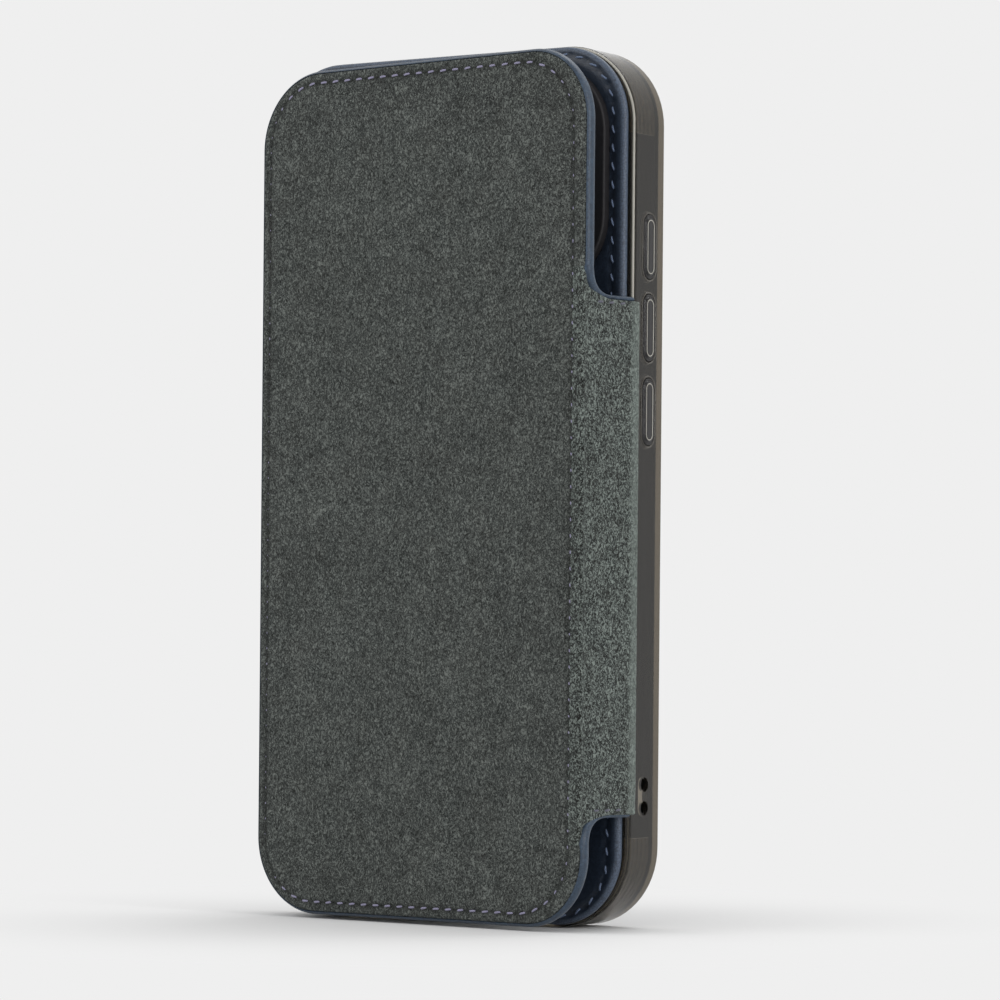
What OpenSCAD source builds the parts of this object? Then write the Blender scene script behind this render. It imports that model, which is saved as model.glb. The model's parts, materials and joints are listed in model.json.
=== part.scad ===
// Folio phone case: a clear moulded tray with a leather back panel, a suede-lined
// cover flap and a short leather spine that joins the two.
//
// It stands on its short bottom edge with the cover folded right round behind it.
// Z is up along the phone, +Y is the screen side, -Y the back, +X the hinge side.
// The origin is the middle of the tray's bottom face. All sizes are in millimetres.

/* [Phone] */
// Width of the phone that the tray holds
phone_w = 71.9; // [69.5:0.1:90]
// Height of the phone
phone_h = 150; // [140:0.1:180]
// Depth of the phone
phone_t = 8.75; // [7.2:0.05:10.6]
// Corner radius of the phone
phone_r = 12; // [9:0.1:14]
// Clearance all round the phone in its tray
phone_gap = 0.15; // [0.05:0.05:0.4]
// Width of the raised camera plateau on the phone's back
plateau_w = 64.8; // [40:0.1:66]
// Height of the camera plateau
plateau_h = 36.6; // [26:0.1:40]
// Corner radius of the camera plateau
plateau_r = 11; // [5:0.1:12]
// Distance from the phone's top edge down to the plateau
plateau_drop = 2.6; // [2:0.1:8]

/* [Tray] */
// Thickness of the side walls
wall_t = 1.8; // [1.6:0.1:2.6]
// Thickness of the tray's floor
floor_t = 1; // [0.8:0.1:1.6]
// Thickness of the soft lining on the floor
lining_t = 0.3; // [0.2:0.05:0.6]
// How far the frosted lip stands proud of the screen
lip_rise = 0.4; // [0.2:0.1:1]
// How far the lip reaches over the edge of the screen
lip_cover = 0.75; // [0.4:0.05:1.2]
// Depth of the frosted lip band seen from the side
lip_band = 2.35; // [1.8:0.05:3]
// Radius on the tray's outer back edge
edge_r = 1; // [0.5:0.1:1.4]
// Depth of the pockets moulded into the inside of the wall
relief_t = 0.9; // [0.7:0.05:1]
// Length of straight wall that each corner cushion covers past its corner
cushion_run = 1.7; // [1:0.1:3]
// Thickness of the dark liner strips
liner_t = 0.35; // [0.2:0.05:0.5]

/* [Buttons] */
// Width of a button cover
cover_w = 4; // [3.6:0.1:4.8]
// How far a button cover stands proud of the wall
cover_proud = 0.35; // [0.2:0.05:0.6]
// Travel of a button cover when pressed
cover_travel = 0.3; // [0.2:0.05:0.3]
// Clearance between a button cover and its window
cover_gap = 0.12; // [0.08:0.02:0.2]
// Distance of the action button below the phone's top edge
action_drop = 33.35; // [30:0.05:36]
// Length of the action button cover
action_len = 11.2; // [8:0.1:12]
// Distance of the volume up button below the phone's top edge
volume_up_drop = 47.45; // [46:0.05:49]
// Distance of the volume down button below the phone's top edge
volume_down_drop = 62.05; // [61:0.05:66]
// Length of the two volume button covers
volume_len = 11.7; // [9:0.1:12]
// Distance of the power button below the phone's top edge, on the far side
power_drop = 50; // [40:0.1:60]
// Length of the power button cover
power_len = 18; // [12:0.1:22]
// Distance of the camera control below the phone's top edge, on the far side
shutter_drop = 94; // [80:0.1:105]
// Length of the camera control cover
shutter_len = 16; // [12:0.1:20]

/* [Openings] */
// Length of the charging port opening
port_len = 14; // [11:0.1:16]
// Width of the charging port opening
port_w = 5.2; // [4:0.1:5.4]
// Length of each speaker slot
slot_len = 10; // [6:0.1:11]
// Width of each speaker slot
slot_w = 2.4; // [1.6:0.1:3]
// Distance of each speaker slot from the middle
slot_x = 16; // [13:0.1:17]
// Radius of each lanyard hole
lanyard_r = 1.25; // [0.8:0.05:1.5]
// Height of the lower lanyard hole
lanyard_z = 20.9; // [19:0.1:30]
// Distance between the two lanyard holes
lanyard_pitch = 4.1; // [3.4:0.1:6]

/* [Back panel] */
// Thickness of the panel's leather
hide_t = 0.95; // [0.7:0.05:1.3]
// Thickness of the board under the leather
board_t = 0.7; // [0.65:0.05:1.2]
// How far the panel's long edges sit inside the tray's
panel_inset = 0.6; // [0.3:0.05:1.2]
// How far the panel's short edges sit inside the tray's
panel_end_inset = 0.1; // [0.1:0.05:1]
// Width of the raised frame round the camera opening
surround_w = 0.8; // [0.6:0.05:1]
// Height of that frame above the leather
surround_proud = 1.35; // [0.8:0.05:1.4]
// How far the frame's flange reaches in over the edge of the camera plateau
surround_cover = 2.6; // [0:0.1:3]
// Thickness of that flange
surround_flange_t = 0.8; // [0.6:0.05:1]
// Clearance between the camera plateau and its opening
plateau_gap = 0.4; // [0.2:0.05:0.5]
// Inner diameter of the charging magnet ring
magnet_id = 46; // [44:0.1:48]
// Outer diameter of the charging magnet ring
magnet_od = 54; // [52:0.1:56]
// Thickness of the magnets
magnet_t = 0.55; // [0.4:0.05:0.6]
// Number of magnets in the ring
magnet_count = 18; // [12:1:24]

/* [Cover flap] */
// How much narrower than the tray the flap is
flap_narrow = 0.2; // [0:0.1:4]
// Gap between the flap's bottom edge and the tray's bottom face
flap_lift = 0.5; // [0.3:0.1:3]
// How much shorter than the tray the flap is
flap_short = 2.5; // [1:0.1:8]
// Corner radius of the flap at its free edge
flap_free_r = 13.7; // [9:0.1:16]
// Corner radius of the flap at its hinge edge
flap_hinge_r = 12.7; // [8:0.1:16]
// Thickness of the flap's leather
flap_hide_t = 1; // [0.7:0.05:1.3]
// Thickness of the flap's stiffening board
flap_board_t = 0.7; // [0.5:0.05:1.2]
// Thickness of the flap's suede lining
flap_suede_t = 0.9; // [0.7:0.05:1.2]
// Width of the leather edge that shows round the suede
rolled_w = 0.6; // [0.5:0.05:1]
// How far the flap's leather edge reaches past the crease
flap_ear = 1.4; // [1:0.1:2]
// Gap between the folded flap and the frame round the camera opening
rest_gap = 0.3; // [0.1:0.05:1]

/* [Spine] */
// Height of the spine's lower edge
spine_z = 19.5; // [18:0.1:30]
// Distance of the spine's upper edge below the top of the tray
spine_drop = 44.5; // [42:0.1:60]
// Angle by which the folded spine leans in behind the tray
spine_lean = 11.5; // [9:0.1:13]
// Thickness of the spine's leather
spine_hide_t = 0.8; // [0.6:0.05:0.85]
// Thickness of the spine's suede
spine_suede_t = 0.7; // [0.5:0.05:0.9]
// Radius where the spine's edges sweep out to meet the flap
notch_r = 4.5; // [2:0.1:5]
// Clearance that the folded leather keeps from the tray
fold_gap = 0.3; // [0.2:0.05:0.5]
// Gap between the closed flap and the lip
shut_gap = 0.45; // [0.3:0.05:0.8]

/* [Stitching] */
// Radius of the thread
thread_r = 0.2; // [0.15:0.01:0.25]
// Distance between stitches on the flap and spine
flap_pitch = 2.8; // [2.4:0.1:4]
// Distance between stitches on the back panel
panel_pitch = 3.2; // [2.6:0.1:4]
// Distance of the back panel's stitch line from its long edges
panel_stitch_in = 2.9; // [2.6:0.1:3.1]
// Distance of the back panel's stitch line from its short edges
panel_stitch_end = 1.7; // [1.6:0.1:2]
// Distance of the flap's stitch line from its leather edge
flap_stitch_in = 2.3; // [1.8:0.1:3]

/* [Hidden] */
$fn = 64;
eps = 0.01;

// Colours
c_clear = [0.36, 0.35, 0.34, 0.55];
c_lip = [0.60, 0.56, 0.50, 0.75];
c_cushion = [0.45, 0.44, 0.41, 0.6];
c_liner = [0.14, 0.14, 0.15];
c_lining = [0.16, 0.17, 0.18];
c_navy = [0.15, 0.19, 0.25];
c_suede = [0.29, 0.31, 0.30];
c_thread = [0.55, 0.58, 0.66];
c_board = [0.50, 0.44, 0.36];
c_steel = [0.62, 0.62, 0.64];
surround_shade = 0.7;

// Tray
pocket_w = phone_w + 2 * phone_gap;
pocket_h = phone_h + 2 * phone_gap;
pocket_r = phone_r + phone_gap;
tray_w = pocket_w + 2 * wall_t;
tray_h = pocket_h + 2 * wall_t;
tray_r = pocket_r + wall_t;
tray_d = floor_t + lining_t + phone_t + lip_rise;
mid_z = tray_h / 2;
back_y = -tray_d / 2;
floor_y = back_y + floor_t;
phone_y = floor_y + lining_t;
front_y = tray_d / 2;
lip_y = front_y - lip_band;
phone_top = tray_h - wall_t - phone_gap;
skin_t = wall_t - relief_t;
lip_share = 0.6;
lining_gap = 0.1;
lining_back = 0.3;

// Corner cushions and liners, set in pockets inside the wall
seat_gap = 0.02;
insert_inset = 0.1;
insert_y0 = floor_y + insert_inset;
insert_y1 = lip_y - insert_inset;
cushion_base = 0.4;
ridge_count = 5;
ridge_pitch = (insert_y1 - insert_y0) / ridge_count;
ridge_share = 0.55;
ridge_w = ridge_pitch * ridge_share;
liner_gap = 0.06;
liner_z0 = tray_r + cushion_run + liner_gap;
liner_z1 = tray_h - liner_z0;

// Button covers
flange_lip = 0.55;
lanyard_relief = 0.4;
flange_clear = 0.15;
flange_t = relief_t - cover_travel - flange_clear;
flange_w = cover_w + 2 * flange_lip;
side_shift = 0.75;
side_y = min((floor_y + lip_y) / 2 + side_shift, insert_y1 - cover_gap - flange_w / 2);
plunger_w = 2;
plunger_short = 2;
cap_step = 0.4;
cap_step_share = 0.55;
cap_step_proud = cover_proud * cap_step_share;

// Camera opening
opening_w = plateau_w + 2 * plateau_gap;
opening_h = plateau_h + 2 * plateau_gap;
opening_r = plateau_r + plateau_gap;
opening_z = phone_top - plateau_drop - plateau_h / 2;

// Back panel
panel_w = tray_w - 2 * panel_inset;
panel_h = tray_h - 2 * panel_end_inset;
panel_r = tray_r - panel_inset;
panel_t = hide_t + board_t;
panel_y = back_y - panel_t;
roll_share = 0.85;
panel_roll = hide_t * roll_share;
board_gap = 0.05;
board_w = panel_w - 2 * (hide_t + board_gap);
board_h = panel_h - 2 * (hide_t + board_gap);
board_r = panel_r - hide_t - board_gap;
surround_gap = 0.05;
ring_clear = 0.1;
bar_w = 6;
bar_h = 18;
bar_gap = 4.5;
bar_z = mid_z - magnet_od / 2 - bar_gap - bar_h / 2;
magnet_slit = 0.4;
magnet_clear = 0.05;

// Stitch grooves, which the thread lies in just below the surface
thread_sink = 0.05;
thread_y = thread_r + thread_sink;
groove_w = 2 * thread_r + 0.3;
groove_t = 2 * thread_y;
stitch_share = 0.62;

// Spine: its hinge axis A is at the tray, its crease axis B at the flap
spine_top = tray_h - spine_drop;
spine_suede_out = 0.325;
spine_hide_in = spine_hide_t + spine_suede_t - spine_suede_out;
axis_a_back = 0.8;
axis_a = [tray_w / 2 + cover_proud + fold_gap + spine_suede_out, back_y - axis_a_back];
flap_suede_out = 1.2;
flap_t = flap_hide_t + flap_board_t + flap_suede_t;
flap_hide_in = flap_t - flap_suede_out;
spine_len = front_y + shut_gap + flap_suede_out - axis_a[1];
axis_b = axis_a - spine_len * [sin(spine_lean), cos(spine_lean)];
spine_root = 0.3;
spine_end = 0.2;
spine_edge = 0.45;
spine_stitch_in = 1.2;
spine_row_end = 2;

// Flap: folded, its leather face rests beside the frame's far corner, which sets its lean
flap_w = tray_w - flap_narrow;
rest_across = axis_b[0] + opening_w / 2 + surround_w;
rest_deep = panel_y - surround_proud - axis_b[1];
flap_lean = acos((flap_hide_in + rest_gap) / norm([rest_across, rest_deep]))
          - atan2(rest_across, rest_deep);
flap_z0 = flap_lift;
flap_z1 = flap_lift + tray_h - flap_short;
flap_x0 = flap_ear - flap_w;
crease_gap = 0.35;
flap_start = spine_hide_in + crease_gap;
recess_gap = 0.4;
groove_edge = 0.2;
flap_stitch_hinge = flap_start + groove_w / 2 + groove_edge;
flap_stitch_turn = 1.5;
flap_stitch_r = flap_hinge_r - flap_stitch_turn;
rim_sink = 0.15;

// ---------------------------------------------------------------- shapes

// Rounded rectangle centred on the origin
module rounded(w, h, r) {
    square([w - 2 * r, h], center = true);
    square([w, h - 2 * r], center = true);
    for (sx = [-1, 1])
        for (sy = [-1, 1])
            translate([sx * (w / 2 - r), sy * (h / 2 - r)])
                circle(r);
}

// Slot with round ends, its length along the second axis
module pill(w, len) {
    square([w, len - w], center = true);
    for (s = [-1, 1])
        translate([0, s * (len - w) / 2])
            circle(w / 2);
}

// Plate facing the phone's back, drawn in X and Z, between two depths
module plate(y0, y1) {
    translate([0, y1, 0])
        rotate([90, 0, 0])
            linear_extrude(y1 - y0)
                children();
}

// The same, with the drawing's origin at a given height
module plate_at(y0, y1, z) {
    translate([0, 0, z])
        plate(y0, y1)
            children();
}

// Block drawn in Y and Z, between two places along X
module side_plate(x0, x1) {
    translate([x0, 0, 0])
        rotate([90, 0, 90])
            linear_extrude(x1 - x0)
                children();
}

// Lays a shape drawn in X and Y, with depth along Z, into the case: its depth runs along +Y
// and its second axis runs down
module laid() {
    translate([0, 0, mid_z])
        rotate([-90, 0, 0])
            children();
}

// A profile of (distance from the edge, depth) run straight along a rim's side
module run_straight(reach, len) {
    rotate([90, 0, 0])
        linear_extrude(len)
            translate([reach, 0])
                children();
}

// Corner k of a rim: the profile turned through 90 degrees, with a straight run on each side.
// Corners 0 and 1 are the lower right and left, 2 and 3 the upper left and right.
module rim_corner(w, h, r, k, run) {
    sx = (k == 0 || k == 3) ? 1 : -1;
    sy = k < 2 ? 1 : -1;
    laid()
        translate([sx * (w / 2 - r), sy * (h / 2 - r), 0])
            rotate([0, 0, 90 * k]) {
                rotate_extrude(angle = 90)
                    translate([r, 0])
                        children();
                if (run > 0) {
                    run_straight(r, run)
                        children();
                    rotate([0, 0, 90])
                        translate([0, run, 0])
                            run_straight(r, run)
                                children();
                }
            }
}

// A whole rim: the profile carried round a rounded rectangle
module rim(w, h, r) {
    for (k = [0 : 3])
        rim_corner(w, h, r, k, 0)
            children();
    laid()
        for (k = [0 : 3]) {
            reach = (k % 2 == 0 ? w : h) / 2;
            len = (k % 2 == 0 ? h : w) - 2 * r;
            rotate([0, 0, 90 * k])
                translate([0, len / 2, 0])
                    run_straight(reach, len)
                        children();
        }
}

// Profile of a wall: from x0 to the edge and from y0 to y1, its outer corner at y0 rounded
module wall_profile(x0, y0, y1, r) {
    difference() {
        translate([x0, y0])
            square([-x0, y1 - y0]);
        translate([-r, y0 - 1])
            square([r + 1, r + 1]);
    }
    intersection() {
        translate([-r, y0 + r])
            circle(r);
        translate([-r, y0])
            square([r, r]);
    }
}

// Point on a rounded rectangle at a distance s round it from the middle of the lower side's
// left end, as [x, z, heading]
function rim_point(s, w, h, r) =
    let (a = w - 2 * r, b = h - 2 * r, q = PI * r / 2, half = a + b + 2 * q,
         back = s >= half, t = back ? s - half : s,
         g1 = (t - a) / r * 180 / PI, g2 = (t - a - q - b) / r * 180 / PI,
         p = t < a ? [t - a / 2, -h / 2, 0]
           : t < a + q ? [a / 2 + r * sin(g1), -b / 2 - r * cos(g1), g1]
           : t < a + q + b ? [w / 2, t - a - q - b / 2, 90]
           : [a / 2 + r * cos(g2), b / 2 + r * sin(g2), 90 + g2])
    back ? [-p[0], -p[1], p[2] + 180] : p;
function rim_length(w, h, r) = 2 * (w + h) - 8 * r + 2 * PI * r;

// A row of stitches round a rounded rectangle, centred at x, z and lying at depth y
module stitch_loop(x, y, z, w, h, r, pitch) {
    count = round(rim_length(w, h, r) / pitch);
    step = rim_length(w, h, r) / count;
    for (i = [0 : count - 1]) {
        p = rim_point((i + 0.5) * step, w, h, r);
        translate([x + p[0], y, z + p[1]])
            rotate([0, 90 - p[2], 0])
                cylinder(h = step * stitch_share, r = thread_r, center = true, $fn = 16);
    }
}

// The groove that such a row lies in
module groove_loop(x, y0, y1, z, w, h, r) {
    translate([x, 0, z])
        plate(y0, y1)
            difference() {
                rounded(w + groove_w, h + groove_w, r + groove_w / 2);
                rounded(w - groove_w, h - groove_w, r - groove_w / 2);
            }
}

// ---------------------------------------------------------------- tray

// The pocket that a corner cushion sits in
module corner_pocket(k) {
    rim_corner(tray_w, tray_h, tray_r, k, cushion_run + seat_gap)
        translate([-wall_t - 0.5, insert_y0 - seat_gap])
            square([relief_t + 0.5, insert_y1 - insert_y0 + 2 * seat_gap]);
}

module corner_cushion(k) {
    color(c_cushion)
        rim_corner(tray_w, tray_h, tray_r, k, cushion_run) {
            union() {
                translate([-wall_t, insert_y0])
                    square([cushion_base, insert_y1 - insert_y0]);
                for (i = [0 : ridge_count - 1])
                    translate([-wall_t, insert_y0 + (i + 0.5) * ridge_pitch - ridge_w / 2])
                        square([relief_t - seat_gap, ridge_w]);
            }
        }
}

// Box on the inner face of one long wall, s = 1 on the hinge side
module wall_box(s, x0, x1, y0, y1, z0, z1) {
    mirror([s > 0 ? 0 : 1, 0, 0])
        translate([x0, y0, z0])
            cube([x1 - x0, y1 - y0, z1 - z0]);
}

// Pill through one long wall, its middle at height z
module wall_pill(s, x0, x1, w, len, z) {
    mirror([s > 0 ? 0 : 1, 0, 0])
        side_plate(x0, x1)
            translate([side_y, z])
                pill(w, len);
}

// Window and flange recess for a button cover
module button_hole(s, len, z) {
    wall_pill(s, tray_w / 2 - wall_t - 1, tray_w / 2 + 1,
              cover_w + 2 * cover_gap, len + 2 * cover_gap, z);
    wall_pill(s, tray_w / 2 - wall_t - 1, tray_w / 2 - skin_t,
              flange_w + 2 * cover_gap, len + 2 * (flange_lip + cover_gap), z);
}

module button_holes(s) {
    if (s > 0) {
        button_hole(s, action_len, phone_top - action_drop);
        button_hole(s, volume_len, phone_top - volume_up_drop);
        button_hole(s, volume_len, phone_top - volume_down_drop);
    } else {
        button_hole(s, power_len, phone_top - power_drop);
        button_hole(s, shutter_len, phone_top - shutter_drop);
    }
}

module lanyard_holes() {
    for (i = [0, 1])
        translate([tray_w / 2 - wall_t - 1, side_y, lanyard_z + i * lanyard_pitch])
            rotate([0, 90, 0])
                cylinder(h = wall_t + 2, r = lanyard_r);
    side_plate(tray_w / 2 - wall_t - 1, tray_w / 2 - skin_t)
        translate([side_y, lanyard_z + lanyard_pitch / 2])
            pill(2 * lanyard_r + lanyard_relief, lanyard_pitch + 2 * lanyard_r + lanyard_relief);
}

module camera_hole(y0, y1, grow) {
    plate_at(y0, y1, opening_z)
        rounded(opening_w + 2 * grow, opening_h + 2 * grow, opening_r + grow);
}

// Openings for the charging port and the speakers in the bottom wall
module bottom_holes() {
    translate([0, side_y, -1])
        linear_extrude(wall_t + 2) {
            rotate(90)
                pill(port_w, port_len);
            for (s = [-1, 1])
                translate([s * slot_x, 0])
                    rotate(90)
                        pill(slot_w, slot_len);
        }
}

module tray_shell() {
    color(c_clear)
        difference() {
            union() {
                rim(tray_w, tray_h, tray_r)
                    wall_profile(-wall_t, back_y, lip_y, edge_r);
                plate_at(back_y, floor_y, mid_z)
                    rounded(tray_w - 2 * edge_r, tray_h - 2 * edge_r, tray_r - edge_r);
            }
            camera_hole(back_y - 1, floor_y + 1, 0);
            for (k = [0 : 3])
                corner_pocket(k);
            for (s = [-1, 1]) {
                wall_box(s, tray_w / 2 - wall_t - 1, tray_w / 2 - wall_t + liner_t,
                         insert_y0, insert_y1, liner_z0, liner_z1);
                button_holes(s);
            }
            lanyard_holes();
            bottom_holes();
        }
}

// Frosted band that ends the wall and covers the screen's edge
module front_lip() {
    color(c_lip)
        rim(tray_w, tray_h, tray_r)
            mirror([0, 1])
                union() {
                    wall_profile(-wall_t, -front_y, -lip_y, edge_r * lip_share);
                    translate([-wall_t - lip_cover, -front_y])
                        square([lip_cover + eps, lip_rise]);
                }
}

module corner_cushion_top_left() { corner_cushion(2); }
module corner_cushion_top_right() { corner_cushion(3); }
module corner_cushion_bottom_left() { corner_cushion(1); }
module corner_cushion_bottom_right() { corner_cushion(0); }

// Dark strip along one long wall, with holes where the button covers and the lanyard pass
module side_liner(s) {
    color(c_liner)
        difference() {
            wall_box(s, tray_w / 2 - wall_t, tray_w / 2 - wall_t + liner_t,
                     insert_y0, insert_y1, liner_z0, liner_z1);
            button_holes(s);
            if (s > 0)
                lanyard_holes();
        }
}

module side_liner_left() { side_liner(-1); }
module side_liner_right() { side_liner(1); }

module inner_lining() {
    color(c_lining)
        difference() {
            plate_at(floor_y, phone_y, mid_z)
                rounded(pocket_w - 2 * lining_gap, pocket_h - 2 * lining_gap, pocket_r - lining_gap);
            camera_hole(floor_y - 1, phone_y + 1, lining_back);
        }
}

// ---------------------------------------------------------------- buttons

// Cover with a stepped cap, a flange behind the wall and a plunger that meets the phone's button
module button_cover(s, len, z) {
    color(c_cushion) {
        wall_pill(s, tray_w / 2 - skin_t - seat_gap - eps, tray_w / 2 + cap_step_proud,
                  cover_w, len, z);
        wall_pill(s, tray_w / 2 - skin_t, tray_w / 2 + cover_proud,
                  cover_w - 2 * cap_step, len - 2 * cap_step, z);
        wall_pill(s, tray_w / 2 - skin_t - seat_gap - flange_t, tray_w / 2 - skin_t - seat_gap,
                  flange_w, len + 2 * flange_lip, z);
        wall_pill(s, tray_w / 2 - wall_t, tray_w / 2 - skin_t - seat_gap,
                  plunger_w, len - plunger_short, z);
    }
}

module action_button() { button_cover(1, action_len, phone_top - action_drop); }
module volume_up_button() { button_cover(1, volume_len, phone_top - volume_up_drop); }
module volume_down_button() { button_cover(1, volume_len, phone_top - volume_down_drop); }
module power_button() { button_cover(-1, power_len, phone_top - power_drop); }
module camera_control_button() { button_cover(-1, shutter_len, phone_top - shutter_drop); }

// ---------------------------------------------------------------- back panel

// Raised frame round the camera opening, with a flange that covers the plateau's edge
module camera_surround() {
    top_y = panel_y - surround_proud;
    round_r = surround_flange_t / 2;
    color(c_navy * surround_shade)
        translate([0, 0, opening_z - mid_z])
            rim(opening_w + 2 * surround_w, opening_h + 2 * surround_w, opening_r + surround_w)
                union() {
                    translate([-surround_w, top_y + round_r])
                        square([surround_w, back_y - top_y - round_r]);
                    translate([-surround_w - surround_cover + round_r, top_y])
                        square([surround_w + surround_cover - 2 * round_r, surround_flange_t]);
                    for (x = [-round_r, round_r - surround_w - surround_cover])
                        translate([x, top_y + round_r])
                            circle(round_r);
                }
}

module panel_camera_hole() {
    camera_hole(panel_y - 1, back_y + 1, surround_w + surround_gap);
}

module panel_stitch_groove(y0, y1) {
    groove_loop(0, y0, y1, mid_z, panel_w - 2 * panel_stitch_in,
                panel_h - 2 * panel_stitch_end, panel_r - panel_stitch_in);
}

// Leather turned over the board's edge, like a shallow tray
module back_leather() {
    color(c_navy)
        difference() {
            union() {
                rim(panel_w, panel_h, panel_r)
                    wall_profile(-hide_t, panel_y, back_y, panel_roll);
                plate_at(panel_y, panel_y + hide_t, mid_z)
                    rounded(panel_w - 2 * panel_roll, panel_h - 2 * panel_roll,
                            panel_r - panel_roll);
            }
            panel_camera_hole();
            panel_stitch_groove(panel_y - 1, panel_y + groove_t);
        }
}

module back_stitching() {
    color(c_thread)
        stitch_loop(0, panel_y + thread_y, mid_z, panel_w - 2 * panel_stitch_in,
                    panel_h - 2 * panel_stitch_end, panel_r - panel_stitch_in, panel_pitch);
}

module back_board() {
    color(c_board)
        difference() {
            plate_at(panel_y + hide_t, back_y, mid_z)
                rounded(board_w, board_h, board_r);
            panel_camera_hole();
            plate_at(back_y - magnet_t - magnet_clear, back_y + 1, mid_z)
                difference() {
                    circle(magnet_od / 2 + ring_clear);
                    circle(magnet_id / 2 - ring_clear);
                }
            plate_at(back_y - magnet_t - magnet_clear, back_y + 1, bar_z)
                square([bar_w + 2 * ring_clear, bar_h + 2 * ring_clear], center = true);
        }
}

module magnet_ring() {
    slit = magnet_slit / (magnet_id / 2) * 180 / PI;
    color(c_steel)
        for (i = [0 : magnet_count - 1])
            laid()
                translate([0, 0, back_y - magnet_t])
                    rotate([0, 0, i * 360 / magnet_count])
                        rotate_extrude(angle = 360 / magnet_count - slit)
                            translate([magnet_id / 2, 0])
                                square([(magnet_od - magnet_id) / 2, magnet_t]);
}

module alignment_magnet() {
    color(c_steel)
        plate_at(back_y - magnet_t, back_y, bar_z)
            square([bar_w, bar_h], center = true);
}

// ---------------------------------------------------------------- spine

// The spine is drawn hanging from its hinge axis along -Y, suede towards +X
module on_spine() {
    translate([axis_a[0], axis_a[1], 0])
        rotate([0, 0, -spine_lean])
            children();
}

// Outline of the spine in Y and Z, its ends sweeping out to meet the flap
module spine_outline(edge) {
    y0 = spine_end - spine_len;
    z0 = spine_z + edge;
    z1 = spine_top - edge;
    translate([y0, z0])
        square([-spine_root - y0, z1 - z0]);
    for (up = [0, 1])
        translate([y0, up ? z1 : z0])
            mirror([0, up ? 0 : 1])
                difference() {
                    translate([0, -1])
                        square([notch_r, notch_r + 1]);
                    translate([notch_r, notch_r])
                        circle(notch_r);
                }
}

module spine_leather() {
    color(c_navy)
        on_spine()
            side_plate(-spine_hide_in, -spine_hide_in + spine_hide_t)
                spine_outline(0);
}

// Height of each of the spine's two stitch lines
function spine_row_z(up) = up ? spine_top - spine_stitch_in : spine_z + spine_stitch_in;

module spine_suede() {
    color(c_suede)
        on_spine()
            difference() {
                side_plate(spine_suede_out - spine_suede_t, spine_suede_out)
                    spine_outline(spine_edge);
                for (up = [0, 1])
                    translate([spine_suede_out - groove_t, -spine_len, spine_row_z(up) - groove_w / 2])
                        cube([1, spine_len, groove_w]);
            }
}

module spine_stitching() {
    count = floor((spine_len - spine_row_end) / flap_pitch);
    first = (spine_len - (count - 1) * flap_pitch) / 2;
    color(c_thread)
        on_spine()
            for (up = [0, 1])
                for (i = [0 : count - 1])
                    translate([spine_suede_out - thread_y, -first - i * flap_pitch, spine_row_z(up)])
                        rotate([90, 0, 0])
                            cylinder(h = flap_pitch * stitch_share, r = thread_r,
                                     center = true, $fn = 16);
}

// ---------------------------------------------------------------- cover flap

// The flap is drawn from its crease axis along -X, suede towards -Y
module on_flap() {
    translate([axis_b[0], axis_b[1], 0])
        rotate([0, 0, -flap_lean])
            children();
}

// Outline of the flap in X and Z, drawn in from its edge, with the recess that the spine fills
module flap_outline(edge) {
    w = flap_w - 2 * edge;
    h = flap_z1 - flap_z0 - 2 * edge;
    difference() {
        translate([flap_x0 + flap_w / 2, (flap_z0 + flap_z1) / 2])
            intersection() {
                rounded(w, h, flap_free_r - edge);
                translate([-w, -h])
                    square([2 * w - flap_free_r, 2 * h]);
            }
        spine_recess();
    }
    difference() {
        translate([flap_x0 + flap_w / 2, (flap_z0 + flap_z1) / 2])
            intersection() {
                rounded(w, h, flap_hinge_r - edge);
                translate([0, -h])
                    square([w, 2 * h]);
            }
        spine_recess();
    }
}

module spine_recess() {
    reach = notch_r + recess_gap;
    translate([-flap_start, spine_z - reach])
        square([flap_start + flap_ear + 1, spine_top - spine_z + 2 * reach]);
}

// The flap's stitch line: its box and its middle
flap_line_x0 = flap_x0 + flap_stitch_in;
flap_line_w = -flap_stitch_hinge - flap_line_x0;
flap_line_h = flap_z1 - flap_z0 - 2 * flap_stitch_in;
flap_line_x = flap_line_x0 + flap_line_w / 2;
flap_line_z = (flap_z0 + flap_z1) / 2;

// Leather face with its edge turned up round the board and the suede
module flap_leather() {
    y_face = flap_hide_in;
    y_board = flap_hide_in - flap_hide_t;
    color(c_navy)
        on_flap()
            difference() {
                union() {
                    plate(y_board, y_face)
                        flap_outline(0);
                    plate(-flap_suede_out + rim_sink, y_board + eps)
                        difference() {
                            flap_outline(0);
                            flap_outline_solid(rolled_w);
                        }
                }
                groove_loop(flap_line_x, y_face - groove_t, y_face + 1, flap_line_z,
                            flap_line_w, flap_line_h, flap_stitch_r);
            }
}

// The inner outline with no recess, so that the turned edge stops at the spine
module flap_outline_solid(edge) {
    flap_outline(edge);
    translate([-flap_start - eps, spine_z - notch_r - recess_gap])
        square([flap_start, spine_top - spine_z + 2 * (notch_r + recess_gap)]);
}

module flap_board() {
    y0 = flap_hide_in - flap_hide_t - flap_board_t;
    color(c_board)
        on_flap()
            plate(y0, y0 + flap_board_t)
                flap_outline(rolled_w + board_gap);
}

module flap_suede() {
    color(c_suede)
        on_flap()
            difference() {
                plate(-flap_suede_out, -flap_suede_out + flap_suede_t)
                    flap_outline(rolled_w + seat_gap);
                groove_loop(flap_line_x, -flap_suede_out - 1, -flap_suede_out + groove_t,
                            flap_line_z, flap_line_w, flap_line_h, flap_stitch_r);
            }
}

module flap_stitching() {
    color(c_thread)
        on_flap()
            for (y = [thread_y - flap_suede_out, flap_hide_in - thread_y])
                stitch_loop(flap_line_x, y, flap_line_z, flap_line_w, flap_line_h,
                            flap_stitch_r, flap_pitch);
}

// ---------------------------------------------------------------- nodes

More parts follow.
